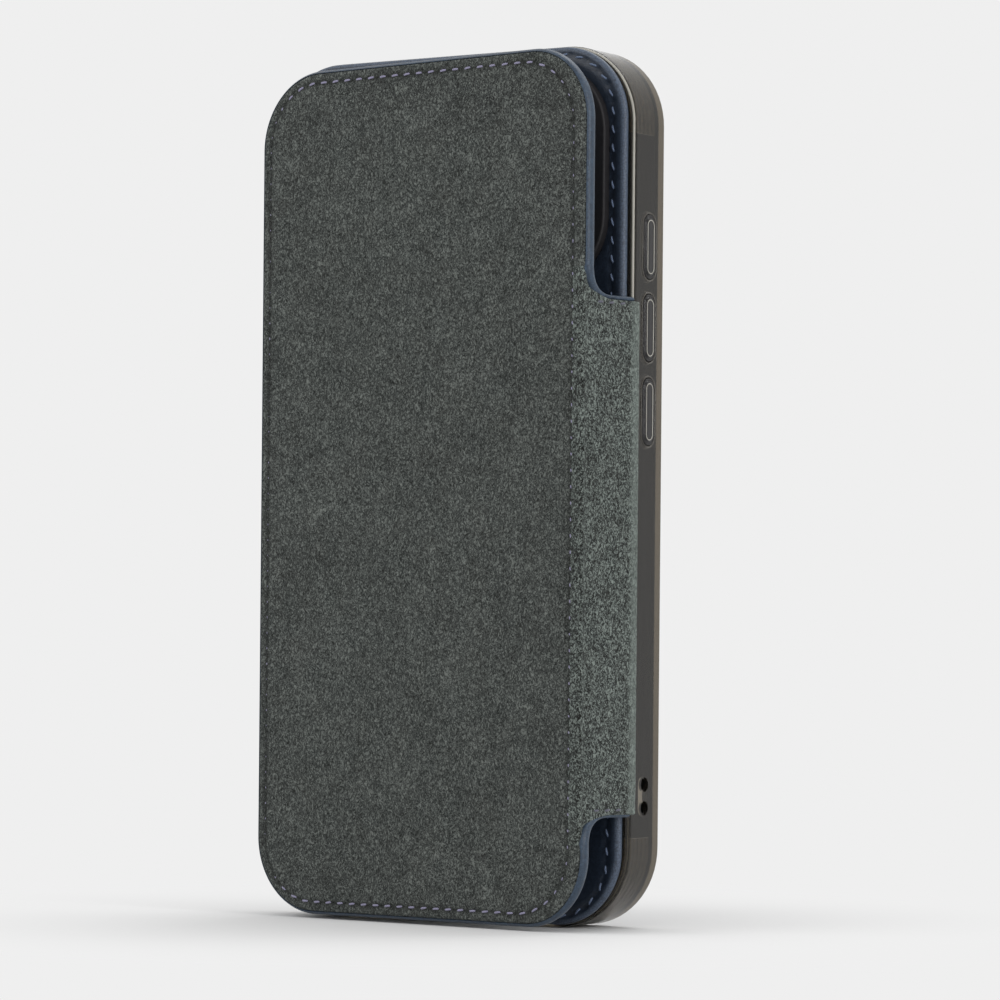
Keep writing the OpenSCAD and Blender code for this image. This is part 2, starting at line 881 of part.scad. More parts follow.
tray_shell();
front_lip();
corner_cushion_top_left();
corner_cushion_top_right();
corner_cushion_bottom_left();
corner_cushion_bottom_right();
side_liner_left();
side_liner_right();
inner_lining();
camera_surround();
back_board();
magnet_ring();
alignment_magnet();
back_leather();
back_stitching();
action_button();
volume_up_button();
volume_down_button();
power_button();
camera_control_button();
spine_leather();
spine_suede();
spine_stitching();
flap_leather();
flap_board();
flap_suede();
flap_stitching();
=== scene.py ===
"""Looks for the folio phone case: a clear moulded tray, a navy leather back panel and a
suede-lined cover flap folded right round behind it on a short spine."""

import json
import math

import bmesh
import bpy
import numpy as np
from mathutils import Matrix, Vector


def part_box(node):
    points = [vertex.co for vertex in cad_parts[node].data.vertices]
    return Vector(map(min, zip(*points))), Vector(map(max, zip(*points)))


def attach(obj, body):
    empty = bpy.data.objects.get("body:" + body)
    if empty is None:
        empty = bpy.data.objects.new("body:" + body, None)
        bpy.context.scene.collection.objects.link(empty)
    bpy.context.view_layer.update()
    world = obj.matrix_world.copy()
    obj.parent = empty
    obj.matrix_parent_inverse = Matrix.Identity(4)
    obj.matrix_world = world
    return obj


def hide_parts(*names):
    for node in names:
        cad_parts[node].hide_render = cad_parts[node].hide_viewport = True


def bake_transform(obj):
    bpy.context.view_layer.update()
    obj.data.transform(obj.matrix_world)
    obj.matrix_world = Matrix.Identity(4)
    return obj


MM = 0.001

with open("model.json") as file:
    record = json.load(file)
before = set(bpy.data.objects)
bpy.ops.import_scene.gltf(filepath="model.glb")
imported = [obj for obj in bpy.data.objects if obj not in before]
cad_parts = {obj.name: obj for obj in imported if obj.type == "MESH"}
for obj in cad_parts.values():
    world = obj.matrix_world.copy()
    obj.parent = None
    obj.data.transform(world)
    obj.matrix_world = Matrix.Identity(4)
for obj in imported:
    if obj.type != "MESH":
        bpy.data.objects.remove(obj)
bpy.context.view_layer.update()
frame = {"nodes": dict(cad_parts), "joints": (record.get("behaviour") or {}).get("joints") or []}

# ---------------------------------------------------------------- sizes, in millimetres


def node_box(name):
    """Lowest and highest corner of a CAD node, in millimetres."""
    low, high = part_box(name)
    return np.array(low) / MM, np.array(high) / MM


def joint(name):
    """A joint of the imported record, by name."""
    return next(j for j in frame["joints"] if j["name"] == name)


TRAY_LOW, TRAY_HIGH = node_box("tray_shell")
TRAY_W = TRAY_HIGH[0] - TRAY_LOW[0]
TRAY_H = TRAY_HIGH[2]
BACK_Y = TRAY_LOW[1]
TRAY_R = 13.95

# Hinge axes in plan, and how far each half of the folded cover leans
AXIS_A = np.array(joint("spine_hinge")["pos_m"][:2]) / MM
AXIS_B = np.array(joint("flap_hinge")["pos_m"][:2]) / MM
SPINE_LEN = float(np.linalg.norm(AXIS_B - AXIS_A))
SPINE_LEAN = math.radians(joint("spine_hinge")["range_deg"][1] - 180)
FLAP_LEAN = math.radians(joint("flap_hinge")["range_deg"][1] - 180) + SPINE_LEAN

# Directions along the spine and the flap, and out of their suede faces
SPINE_DIR = np.array([-math.sin(SPINE_LEAN), -math.cos(SPINE_LEAN)])
SPINE_OUT = np.array([math.cos(SPINE_LEAN), -math.sin(SPINE_LEAN)])
FLAP_DIR = np.array([-math.cos(FLAP_LEAN), math.sin(FLAP_LEAN)])
FLAP_OUT = np.array([-math.sin(FLAP_LEAN), -math.cos(FLAP_LEAN)])

# Spine layers, measured out of its hinge line towards the suede
SPINE_SUEDE_FACE = 0.325
SPINE_HIDE_FACE = -1.175
SPINE_SEAM = -0.375

# Spine ends, the notches that they sweep into, and their leather border and turned edge
SPINE_Z0 = 19.5
SPINE_Z1 = 109.4
NOTCH_R = 4.5
NOTCH_RUN = 7.2
NOTCH_START = SPINE_LEN - NOTCH_RUN
SUEDE_EDGE = 0.45
SUEDE_EDGE_TOP = 0.75
FILLET_END = 0.4
EDGE_HALF = 0.42
EAR_HALF = 1.17

# Flap layers, measured out of its crease line towards the suede
FLAP_SUEDE_FACE = 1.2
FLAP_SUEDE_BACK = 0.3
FLAP_HIDE_FACE = -1.4

# Flap outline, its leather rim and its stitch line
FLAP_EAR = 1.4
FLAP_W = TRAY_W - 0.2
FLAP_Z0 = node_box("flap_leather")[0][2]
FLAP_Z1 = node_box("flap_leather")[1][2]
FLAP_FREE_R = 13.7
FLAP_HINGE_R = 12.7
ROLLED_W = 0.6
FLAP_LINE_IN = 2.3
FLAP_LINE_HINGE = 1.85
FLAP_LINE_R = 11.2
FLAP_PITCH = 2.8
ROLL_DEPTH = 2.55

# Back panel and its stitch line
PANEL_LOW, PANEL_HIGH = node_box("back_leather")
PANEL_W = PANEL_HIGH[0] - PANEL_LOW[0]
PANEL_FACE = PANEL_LOW[1]
PANEL_R = 13.35
PANEL_LINE_SIDE = 2.9
PANEL_LINE_END = 1.7
PANEL_PITCH = 3.2

# The stitches that show: their length, thickness, rise and slant
FLAP_STITCH = {"length": 1.6, "radius": 0.19, "lift": 0.12, "lean": 0.10}
SPINE_STITCH = {"length": 1.6, "radius": 0.2, "lift": 0.08, "lean": 0.1}
PANEL_STITCH = {"length": 1.7, "radius": 0.2, "lift": 0.1, "lean": 0.3}

# ---------------------------------------------------------------- mesh helpers


# Edges with a sharper turn than this stay hard
SHARP = math.radians(52)


def face_outwards(obj):
    """Makes a closed mesh's normals point outwards, and marks its hard edges."""
    bm = bmesh.new()
    bm.from_mesh(obj.data)
    bmesh.ops.recalc_face_normals(bm, faces=bm.faces)
    for edge in bm.edges:
        edge.smooth = len(edge.link_faces) == 2 and edge.calc_face_angle() < SHARP
    bm.to_mesh(obj.data)
    bm.free()


def make_object(name, verts, faces, material):
    """A closed mesh object from vertices in millimetres. It keeps each point's rest place for
    its material to read."""
    mesh = bpy.data.meshes.new(name)
    verts = np.asarray(verts, float)
    mesh.from_pydata((verts * MM).tolist(), [], [tuple(int(i) for i in f) for f in faces])
    mesh.validate()
    rest = mesh.attributes.new("rest", "FLOAT_VECTOR", "POINT")
    co = np.zeros(len(mesh.vertices) * 3, np.float32)
    mesh.vertices.foreach_get("co", co)
    rest.data.foreach_set("vector", co / MM)
    mesh.polygons.foreach_set("use_smooth", [True] * len(mesh.polygons))
    mesh.materials.append(material)
    obj = bpy.data.objects.new(name, mesh)
    bpy.context.scene.collection.objects.link(obj)
    face_outwards(obj)
    return obj


def hash_noise(points, scale, seed):
    """Smooth value noise in 3-D, from -1 to 1, the same at every run."""
    p = np.asarray(points, float) * scale + seed * 17.31
    base = np.floor(p).astype(np.int64)
    f = p - base
    f = f * f * (3 - 2 * f)
    primes = np.array([73856093, 19349663, 83492791], np.uint64)
    total = np.zeros(len(p))
    for corner in np.ndindex(2, 2, 2):
        offset = np.array(corner[::-1])
        h = np.bitwise_xor.reduce((base + offset).astype(np.uint64) * primes, axis=1)
        h = (h ^ (h >> np.uint64(13))) * np.uint64(1274126177)
        value = (h >> np.uint64(8) & np.uint64(65535)).astype(float) / 32767.5 - 1
        weight = np.prod(np.where(offset == 1, f, 1 - f), axis=1)
        total += value * weight
    return total


def lengths_along(path):
    """How far along a path each of its points lies."""
    return np.concatenate([[0], np.cumsum(np.linalg.norm(np.diff(path, axis=0), axis=1))])


def points_at(path, want):
    """Points at the wanted lengths along a path."""
    lengths = lengths_along(path)
    return np.stack([np.interp(want, lengths, column) for column in path.T], axis=1)


def smooth_path(points, count):
    """A Catmull-Rom curve through points, resampled evenly to count points."""
    p = np.asarray(points, float)
    p = np.vstack([2 * p[0] - p[1], p, 2 * p[-1] - p[-2]])
    fine = []
    for i in range(1, len(p) - 2):
        for t in np.linspace(0, 1, 24, endpoint=False):
            a, b, c, d = p[i - 1], p[i], p[i + 1], p[i + 2]
            fine.append(0.5 * (2 * b + (c - a) * t + (2 * a - 5 * b + 4 * c - d) * t * t
                               + (3 * b - a - 3 * c + d) * t ** 3))
    fine = np.array(fine + [p[-2]])
    return points_at(fine, np.linspace(0, lengths_along(fine)[-1], count))


def smoothstep(low, high, x):
    """0 below low, 1 above high and an even S between."""
    t = np.clip((x - low) / (high - low), 0, 1)
    return t * t * (3 - 2 * t)


# ---------------------------------------------------------------- rounded outlines


class Outline:
    """A rounded rectangle with one corner radius on the left and one on the right."""

    def __init__(self, x0, x1, z0, z1, left_r, right_r):
        self.cx, self.cz = (x0 + x1) / 2, (z0 + z1) / 2
        self.hw, self.hh = (x1 - x0) / 2, (z1 - z0) / 2
        self.left_r, self.right_r = left_r, right_r
        self.zone = max(left_r, right_r) + 0.3

    def place(self, u, v, inset):
        """Where grid point (u, v) of the full rectangle lies once the corners are rounded
        and the edge is drawn in by inset."""
        a = np.abs(u) - (self.hw - self.zone)
        b = np.abs(v) - (self.hh - self.zone)
        share = (self.zone - inset) / self.zone
        radius = np.where(u < 0, self.left_r, self.right_r) - inset
        x = np.where(a > 0, self.hw - self.zone + a * share, np.abs(u))
        z = np.where(b > 0, self.hh - self.zone + b * share, np.abs(v))
        corner = (a > 0) & (b > 0)
        m = np.maximum(a, b) / self.zone
        size = m * (self.zone - inset)
        rho = m * radius
        low = np.minimum(a, b) * share
        straight = size - rho
        angle = np.clip((low - straight) / np.maximum(rho, 1e-9), 0, 1) * math.pi / 4
        bent = low > straight
        big = np.where(bent, straight + rho * np.cos(angle), size)
        small = np.where(bent, straight + rho * np.sin(angle), low)
        x = np.where(corner, self.hw - self.zone + np.where(a >= b, big, small), x)
        z = np.where(corner, self.hh - self.zone + np.where(a >= b, small, big), z)
        return self.cx + np.sign(u) * x, self.cz + np.sign(v) * z

    def edge_distance(self, x, z):
        """How far a point lies inside the edge."""
        x, z = np.asarray(x, float) - self.cx, np.asarray(z, float) - self.cz
        radius = np.where(x < 0, self.left_r, self.right_r)
        qx = np.abs(x) - (self.hw - radius)
        qz = np.abs(z) - (self.hh - radius)
        outside = np.hypot(np.maximum(qx, 0), np.maximum(qz, 0))
        return radius - outside - np.minimum(np.maximum(qx, qz), 0)

    def drawn_in(self, by_x, by_z, by_r):
        """A smaller outline: by_x less on each side, by_z at each end and by_r in its radii."""
        return Outline(self.cx - self.hw + by_x, self.cx + self.hw - by_x,
                       self.cz - self.hh + by_z, self.cz + self.hh - by_z,
                       self.left_r - by_r, self.right_r - by_r)

    def walk(self, step):
        """Points and headings at even steps all the way round."""
        pieces = []
        for k, (sx, sz) in enumerate([(1, -1), (1, 1), (-1, 1), (-1, -1)]):
            r = self.right_r if sx > 0 else self.left_r
            centre = np.array([self.cx + sx * (self.hw - r), self.cz + sz * (self.hh - r)])
            start = -math.pi / 2 + k * math.pi / 2
            for t in np.linspace(0, 1, 40):
                g = start + t * math.pi / 2
                pieces.append(centre + r * np.array([math.cos(g), math.sin(g)]))
        pieces = np.array(pieces + [pieces[0]])
        total = lengths_along(pieces)[-1]
        count = int(round(total / step))
        want = (np.arange(count) + 0.5) * total / count
        at = points_at(pieces, want)
        heading = points_at(pieces, (want + 0.05) % total) - at
        return at, heading / np.linalg.norm(heading, axis=1)[:, None]


def grid_lines(low, high, step, through=()):
    """Even grid lines from low to high that also pass through given places."""
    stops = sorted({low, high, *through})
    lines = [low]
    for a, b in zip(stops, stops[1:]):
        n = max(1, int(round((b - a) / step)))
        lines += list(np.linspace(a, b, n + 1)[1:])
    return np.array(lines)


def slab(name, outline, profile, step, material, to_world, relief, keep, through_x=(), through_z=()):
    """A closed slab with a rounded outline. profile lists (inset, depth) from the front face's
    edge round to the back face's. keep(x, z) says which grid cells stay; the rest is cut away
    and the cut is closed. relief(x, z, edge) is added to the front face's depth."""
    us = grid_lines(-outline.hw, outline.hw, step, [x - outline.cx for x in through_x])
    vs = grid_lines(-outline.hh, outline.hh, step, [z - outline.cz for z in through_z])
    uu, vv = np.meshgrid(us, vs, indexing="ij")
    front = np.arange(uu.size).reshape(uu.shape)
    border = np.concatenate([front[:-1, 0], front[-1, :-1], front[:0:-1, -1], front[0, :0:-1]])

    def layer(u, v, inset, depth):
        x, z = outline.place(u, v, inset)
        return np.stack([x, np.full_like(x, depth), z], axis=-1).reshape(-1, 3)

    blocks = [layer(uu, vv, *profile[0])]
    x, _, z = blocks[0].T
    blocks[0][:, 1] += relief(x, z, outline.edge_distance(x, z) - profile[0][0])
    blocks += [layer(uu.ravel()[border], vv.ravel()[border], *row) for row in profile[1:-1]]
    blocks.append(layer(uu, vv, *profile[-1]))
    starts = np.cumsum([0] + [len(block) for block in blocks])
    verts = np.vstack(blocks)
    back = front + starts[-2]
    rings = [border, *(start + np.arange(len(border)) for start in starts[1:-2]), starts[-2] + border]

    kept = keep(*outline.place((uu[:-1, :-1] + uu[1:, 1:]) / 2, (vv[:-1, :-1] + vv[1:, 1:]) / 2,
                               profile[0][0]))
    faces = []
    for i, j in np.ndindex(kept.shape):
        if kept[i, j]:
            faces.append((front[i, j], front[i + 1, j], front[i + 1, j + 1], front[i, j + 1]))
            faces.append((back[i, j], back[i, j + 1], back[i + 1, j + 1], back[i + 1, j]))
        for di, dj in ((1, 0), (0, 1)):
            a = i + di, j + dj
            if a[0] < kept.shape[0] and a[1] < kept.shape[1] and kept[i, j] != kept[a]:
                b = a[0] + dj, a[1] + di
                faces.append((front[a], front[b], back[b], back[a]))
    beside = np.concatenate([kept[:, 0], kept[-1], kept[::-1, -1], kept[0, ::-1]])
    for m in range(len(border)):
        if beside[m]:
            after = (m + 1) % len(border)
            faces += [(a[m], a[after], b[after], b[m]) for a, b in zip(rings, rings[1:])]
        if beside[m] != beside[m - 1]:
            faces.append(tuple(ring[m] for ring in rings))
    used, faces_flat = np.unique(np.concatenate([np.array(f) for f in faces]), return_inverse=True)
    faces = np.split(faces_flat, np.cumsum([len(f) for f in faces])[:-1])
    return make_object(name, to_world(verts[used]), faces, material)


def ring(centre, first, second, sides):
    """Points round an oval with the two given half axes."""
    turns = [2 * math.pi * j / sides for j in range(sides)]
    return [centre + first * math.cos(g) + second * math.sin(g) for g in turns]


def tube_faces(rings, sides, start=0, loop=False):
    """Faces of a tube of rings that each have the same number of sides, closed by two end caps
    or, as a loop, on itself. start is its first vertex."""
    faces = []
    for i in range(rings if loop else rings - 1):
        here, there = start + i * sides, start + (i + 1) % rings * sides
        for j in range(sides):
            k = (j + 1) % sides
            faces.append((here + j, here + k, there + k, there + j))
    if not loop:
        last = start + (rings - 1) * sides
        faces += [tuple(range(start, start + sides))[::-1], tuple(range(last, last + sides))]
    return faces


def on_flap(local):
    """Flap points (x across, depth towards the leather, z) in the row frame."""
    local = np.asarray(local, float)
    plan = AXIS_B + np.outer(-local[:, 0], FLAP_DIR) + np.outer(-local[:, 1], FLAP_OUT)
    return np.column_stack([plan, local[:, 2]])


def flap_plan(u, n):
    """Plan point at u along the flap from its crease line and n out of its suede face."""
    return AXIS_B + u * FLAP_DIR + n * FLAP_OUT


def spine_plan(s, n):
    """Plan point at s along the spine from its hinge line and n out of its suede face."""
    return AXIS_A + s * SPINE_DIR + n * SPINE_OUT


def along_spine(*rows):
    """Plan points for rows of (place along the spine, place out of its suede face)."""
    return [spine_plan(*row) for row in rows]


def across_flap(*rows):
    """Plan points for rows of (place along the flap, place out of its suede face)."""
    return [flap_plan(*row) for row in rows]


def ribbon(name, face, back, z_ends, material, step, round_off=0.3, relief=None, swept=None):
    """A strip standing upright: face and back are paths in plan with the same number of points,
    and z_ends gives the strip's lower and upper end at each point. Its ends are rounded off.
    swept gives the paths that the cross-section has changed to where the strip's ends sweep out."""
    count = len(face)
    low, high = z_ends
    swept_face, swept_back = swept or (face, back)
    length = float(np.max(high - low))
    rows = max(8, int(length / step))
    inner = np.linspace(0, 1, rows + 1)
    edge = round_off * (1 - np.cos(np.linspace(0, math.pi / 2, 5)))[:-1]
    levels = [("low", e) for e in edge] + [("in", t) for t in inner]
    levels += [("high", e) for e in edge[::-1]]
    verts = []
    squeeze = lambda e: math.sqrt(max(0.0, 1 - (1 - e / round_off) ** 2))
    free = (high < RECESS_Z1 - 0.01)[:, None]
    for kind, value in levels:
        if kind == "in":
            z = low + round_off + (high - low - 2 * round_off) * value
            scale = 1.0
        else:
            z = low + value if kind == "low" else high - value
            scale = 0.35 + 0.65 * squeeze(value)
        share = np.maximum(smoothstep(SPINE_Z1 - 1.0, RECESS_Z1, z),
                           1 - smoothstep(RECESS_Z0, SPINE_Z0 + 1.0, z))[:, None]
        now_face = face + (swept_face - face) * share
        now_back = back + (swept_back - back) * share
        middle = (now_face + now_back) / 2
        for path in (now_face, now_back):
            plan = middle + (path - middle) * np.where(free, scale, 1.0)
            verts.append(np.column_stack([plan, z]))
    verts = np.vstack(verts)
    faces = []
    block = 2 * count
    for k in range(len(levels) - 1):
        a, b = k * block, (k + 1) * block
        for i in range(count - 1):
            faces.append((a + i, a + i + 1, b + i + 1, b + i))
            faces.append((a + count + i, b + count + i, b + count + i + 1, a + count + i + 1))
        faces.append((a, b, b + count, a + count))
        faces.append((a + count - 1, a + 2 * count - 1, b + 2 * count - 1, b + count - 1))
    last = (len(levels) - 1) * block
    for start in (0, last):
        for i in range(count - 1):
            faces.append((start + i, start + i + 1, start + count + i + 1, start + count + i))
    if relief is not None:
        verts = relief(verts)
    return make_object(name, verts, faces, material)


def thread_row(name, at, along, out, material, sink, length, radius, lift, lean):
    """A row of short stitches. Each is a plump thread that rises out of one needle hole and
    dives into the next; lean turns each a little off the line, and sink, from 0 to 1, says how
    far the material has swallowed each."""
    rings, sides = 9, 8
    verts, faces = [], []
    for k, (p, d, n) in enumerate(zip(at, along, out)):
        side = np.cross(n, d)
        wobble = 0.05 * math.sin(k * 2.3) + lean
        d = d * math.cos(wobble) + side * math.sin(wobble)
        side = np.cross(n, d)
        base = len(verts)
        p = p - n * 0.2 * sink[k]
        size = 1 - 0.3 * sink[k]
        for i in range(rings):
            t = i / (rings - 1)
            swell = math.sin(math.pi * t) ** 0.45 if 0 < t < 1 else 0.0
            rise = lift * math.sin(math.pi * t) - radius * 1.1 + radius * 1.1 * swell
            centre = p + d * (t - 0.5) * length * size + n * rise
            r = radius * size * (0.45 + 0.55 * swell)
            verts += ring(centre, side * r, n * r * 0.85, sides)
        faces += tube_faces(rings, sides, base)
    return make_object(name, np.array(verts), faces, material)


# ---------------------------------------------------------------- materials


class Nodes:
    """A small builder for procedural node materials. Sockets take plain values or links."""

    def __init__(self, name, deforming=True):
        self.material = bpy.data.materials.new(name)
        self.material.use_nodes = True
        self.tree = self.material.node_tree
        self.tree.nodes.clear()
        self.output = self.add("ShaderNodeOutputMaterial")
        self.shader = self.add("ShaderNodeBsdfPrincipled")
        self.feed(self.output.inputs[0], self.shader.outputs[0])
        if deforming:
            self.place = self.attribute("rest", "Vector")
        else:
            coord = self.add("ShaderNodeTexCoord").outputs["Object"]
            scale = self.add("ShaderNodeVectorMath", {0: coord, "Scale": 1 / MM}, operation="SCALE")
            self.place = scale.outputs[0]

    def feed(self, socket, value):
        """Puts a link, a colour or a plain value into a socket."""
        if isinstance(value, bpy.types.NodeSocket):
            self.tree.links.new(value, socket)
        elif socket.type == "RGBA":
            socket.default_value = (*value, 1)
        else:
            socket.default_value = value

    def add(self, kind, sockets=None, **settings):
        """A node, with what goes into its sockets and with its own settings."""
        node = self.tree.nodes.new(kind)
        for key, value in settings.items():
            setattr(node, key, value)
        for key, value in (sockets or {}).items():
            self.feed(node.inputs[key], value)
        return node

    def use(self, **sockets):
        """Feeds the shader's own sockets, with an underscore for each space in a name."""
        for key, value in sockets.items():
            self.feed(self.shader.inputs[key.replace("_", " ")], value)

    def attribute(self, name, output="Fac"):
        return self.add("ShaderNodeAttribute", attribute_name=name).outputs[output]

    def stretch(self, factors, turn=(0, 0, 0)):
        """Texture space turned, then scaled by factors."""
        sockets = {"Vector": self.place, "Rotation": turn, "Scale": factors}
        return self.add("ShaderNodeMapping", sockets).outputs[0]

    def noise(self, scale, detail=3.0, rough=0.55, place=None, distortion=0.0):
        sockets = {"Vector": place or self.place, "Scale": scale, "Detail": detail,
                   "Roughness": rough, "Distortion": distortion}
        return self.add("ShaderNodeTexNoise", sockets).outputs["Fac"]

    def creases(self, scale, width):
        """Cells of leather grain: 0 in the creases between them, 1 past width."""
        sockets = {"Vector": self.place, "Scale": scale}
        cells = self.add("ShaderNodeTexVoronoi", sockets, feature="DISTANCE_TO_EDGE")
        return self.math("MINIMUM", self.times(cells.outputs["Distance"], width), 1.0)

    def math(self, operation, a, b=0.0, clamp=False):
        node = self.add("ShaderNodeMath", {0: a, 1: b}, operation=operation, use_clamp=clamp)
        return node.outputs[0]

    def plus(self, a, b, clamp=False):
        return self.math("ADD", a, b, clamp)

    def times(self, a, b, clamp=False):
        return self.math("MULTIPLY", a, b, clamp)

    def fade(self, value, low, high):
        """0 where value is low and 1 where it is high, with a smooth step between."""
        sockets = {"Value": value, "From Min": low, "From Max": high}
        return self.add("ShaderNodeMapRange", sockets, interpolation_type="SMOOTHSTEP").outputs[0]

    def ramp(self, value, stops):
        """Colours at places from 0 to 1."""
        node = self.add("ShaderNodeValToRGB", {0: value})
        elements = node.color_ramp.elements
        while len(elements) < len(stops):
            elements.new(0.5)
        for element, (position, colour) in zip(elements, stops):
            element.position = position
            element.color = (*colour, 1)
        return node.outputs[0]

    def mix(self, factor, a, b):
        """Colour a where factor is 0 and b where it is 1."""
        return self.add("ShaderNodeMix", {0: factor, 6: a, 7: b}, data_type="RGBA").outputs[2]

    def bump(self, height, distance, strength=1.0):
        """Relief, with its full height in millimetres."""
        sockets = {"Height": height, "Distance": distance * MM, "Strength": strength}
        return self.add("ShaderNodeBump", sockets).outputs[0]


def srgb(r, g, b):
    """A colour given as 0 to 255, as the linear values that Blender uses."""
    return tuple((c / 255 / 12.92) if c / 255 <= 0.04045 else ((c / 255 + 0.055) / 1.055) ** 2.4
                 for c in (r, g, b))


def suede_material(name, dark, middle, light, grain=1.0, depth=1.0, rim=None):
    """Napped suede: soft blotches, short flecks of nap and a low sheen at grazing angles.
    rim is the pair of places along Y between which the colour is painted lighter, a painted highlight
    for the sheen where light grazes the spine's curved root edge."""
    m = Nodes(name)
    flecks = m.stretch((1.0, 1.0, 0.8), (0, 0.5, 0.3))
    fine = m.noise(2.6 * grain, 2.0, 0.6, flecks, 0.8)
    tiny = m.noise(5.0 * grain, 2.0, 0.5, flecks, 0.6)
    worm = m.noise(1.25 * grain, 1.0, 0.5, flecks, 1.6)
    worm = m.times(m.math("ABSOLUTE", m.math("SUBTRACT", worm, 0.5)), 9.0, clamp=True)
    blotch = m.noise(0.075, 3.0, 0.5)
    stroke = m.noise(0.4, 2.0, 0.5, m.stretch((0.7, 0.7, 1.2)))
    value = 0.46
    for part, weight in ((fine, 1.5 * depth), (tiny, 1.1 * depth), (worm, 0.42 * depth),
                         (blotch, 0.24), (stroke, 0.24)):
        value = m.plus(value, m.times(m.math("SUBTRACT", part, 0.5), weight))
    colour = m.ramp(value, [(0.1, dark), (0.5, middle), (0.92, light)])
    # painted shade: the suede is darkened along its marked stitch channel, where shade falls in the
    # groove
    colour = m.mix(m.times(m.attribute("channel"), 0.8), colour, dark)
    warm = m.noise(0.21, 2.0, 0.5)
    colour = m.mix(m.times(warm, 0.2), colour, srgb(74, 68, 62))
    # painted highlight: lighter suede towards the spine's root edge stands in for light grazing its
    # curve
    if rim:
        split = m.add("ShaderNodeSeparateXYZ", {0: m.place})
        painted_rim_sheen = m.times(m.fade(split.outputs["Y"], *rim), m.times(fine, 1.1), clamp=True)
        colour = m.mix(painted_rim_sheen, colour, light)
    height = m.plus(m.times(fine, 0.6), m.times(worm, 0.4))
    m.use(Base_Color=colour, Normal=m.bump(height, 0.4), Roughness=0.97, Specular_IOR_Level=0.08,
          Sheen_Weight=0.12, Sheen_Roughness=0.5, Sheen_Tint=srgb(214, 224, 220))
    return m.material


def leather_material(name, dark, light, gloss=0.42, coarse=1.0):
    """Fine-grained leather: pebbles between creases with painted shade in the creases, and painted
    lighter where a piece marks its edge, a painted highlight.
    """
    m = Nodes(name)
    wobble = m.noise(0.9 * coarse, 2.0)
    crease = m.plus(m.times(m.creases(1.55 * coarse, 8.0), 0.7),
                    m.times(m.creases(3.4 * coarse, 6.0), 0.3))
    shade = m.noise(0.12, 3.0, 0.6)
    blend = m.plus(m.times(shade, 0.35), m.times(wobble, 0.65))
    colour = m.ramp(blend, [(0.24, dark), (0.74, light)])
    # painted highlight: lighter navy along the marked edge, where the side light catches the padded
    # rim
    colour = m.mix(m.times(m.attribute("painted_edge_highlight"), 0.75), colour, srgb(84, 98, 118))
    # painted shade: the creases between the pebbles are darkened
    colour = m.mix(m.math("SUBTRACT", 1.0, crease, clamp=True), colour, dark)
    height = m.plus(m.times(crease, 0.4), m.times(wobble, 0.8))
    m.use(Base_Color=colour, Normal=m.bump(height, 0.06, 0.7), Specular_IOR_Level=0.42,
          Roughness=m.plus(m.times(shade, 0.18), gloss - 0.06), Sheen_Weight=0.06,
          Sheen_Roughness=0.4)
    return m.material


def thread_material(name, colour, shade):
    """Waxed thread with its twist."""
    m = Nodes(name)
    twist = m.add("ShaderNodeTexWave", {"Vector": m.place, "Scale": 1.6, "Distortion": 0.4},
                  wave_type="BANDS", bands_direction="DIAGONAL").outputs["Fac"]
    mixed = m.mix(m.times(twist, 0.5), colour, shade)
    fuzz = m.noise(6.0, 2.0)
    m.use(Base_Color=m.mix(m.times(fuzz, 0.35), mixed, shade), Normal=m.bump(twist, 0.05, 0.7),
          Roughness=0.55, Specular_IOR_Level=0.35, Sheen_Weight=0.15)
    return m.material


def clear_material(name, colour, rough, transmission, haze=0.0, gloss=0.5):
    """Moulded clear plastic, with faint flow lines and handling haze in its gloss."""
    m = Nodes(name, deforming=False)
    flow = m.noise(0.35, 3.0, 0.5, m.stretch((1.0, 1.0, 0.08)))
    smudge = m.noise(0.18, 4.0, 0.6)
    m.use(Base_Color=m.mix(flow, colour, tuple(c * 0.86 for c in colour)),
          Roughness=m.plus(m.times(smudge, 0.10 + haze), rough - 0.03, clamp=True),
          Normal=m.bump(flow, 0.02, 0.5), IOR=1.36, Transmission_Weight=transmission,
          Specular_IOR_Level=gloss)
    return m.material


def matt_material(name, dark, light, scale, rough=0.7, bump=0.02):
    """Moulded, painted or pressed stuff with a fine even texture."""
    m = Nodes(name, deforming=False)
    grain = m.noise(scale, 3.0, 0.6)
    broad = m.noise(0.1, 2.0)
    tone = m.plus(m.times(grain, 0.8), m.times(broad, 0.2))
    m.use(Base_Color=m.ramp(tone, [(0.33, dark), (0.68, light)]), Normal=m.bump(grain, bump, 0.6),
          Roughness=rough, Specular_IOR_Level=0.4)
    return m.material


def brushed_material(name, colour):
    """Nickel-plated magnet steel with fine grinding lines."""
    m = Nodes(name, deforming=False)
    lines = m.noise(3.0, 3.0, 0.6, m.stretch((8.0, 1.0, 0.4)))
    m.use(Base_Color=m.mix(lines, colour, tuple(c * 0.7 for c in colour)), Metallic=1.0,
          Roughness=m.plus(m.times(lines, 0.2), 0.22))
    return m.material


SUEDE = suede_material("suede", srgb(24, 27, 26), srgb(64, 68, 67), srgb(112, 117, 113))
# The spine's suede; its last pair is the band of painted highlight at its root edge
SPINE_SUEDE = suede_material("suede_spine", srgb(20, 22, 22), srgb(62, 67, 66),
                             srgb(122, 131, 126), 0.95, 1.45, (-7.9, -6.5))
NAVY = leather_material("navy_leather", srgb(28, 41, 56), srgb(55, 74, 93), 0.36)
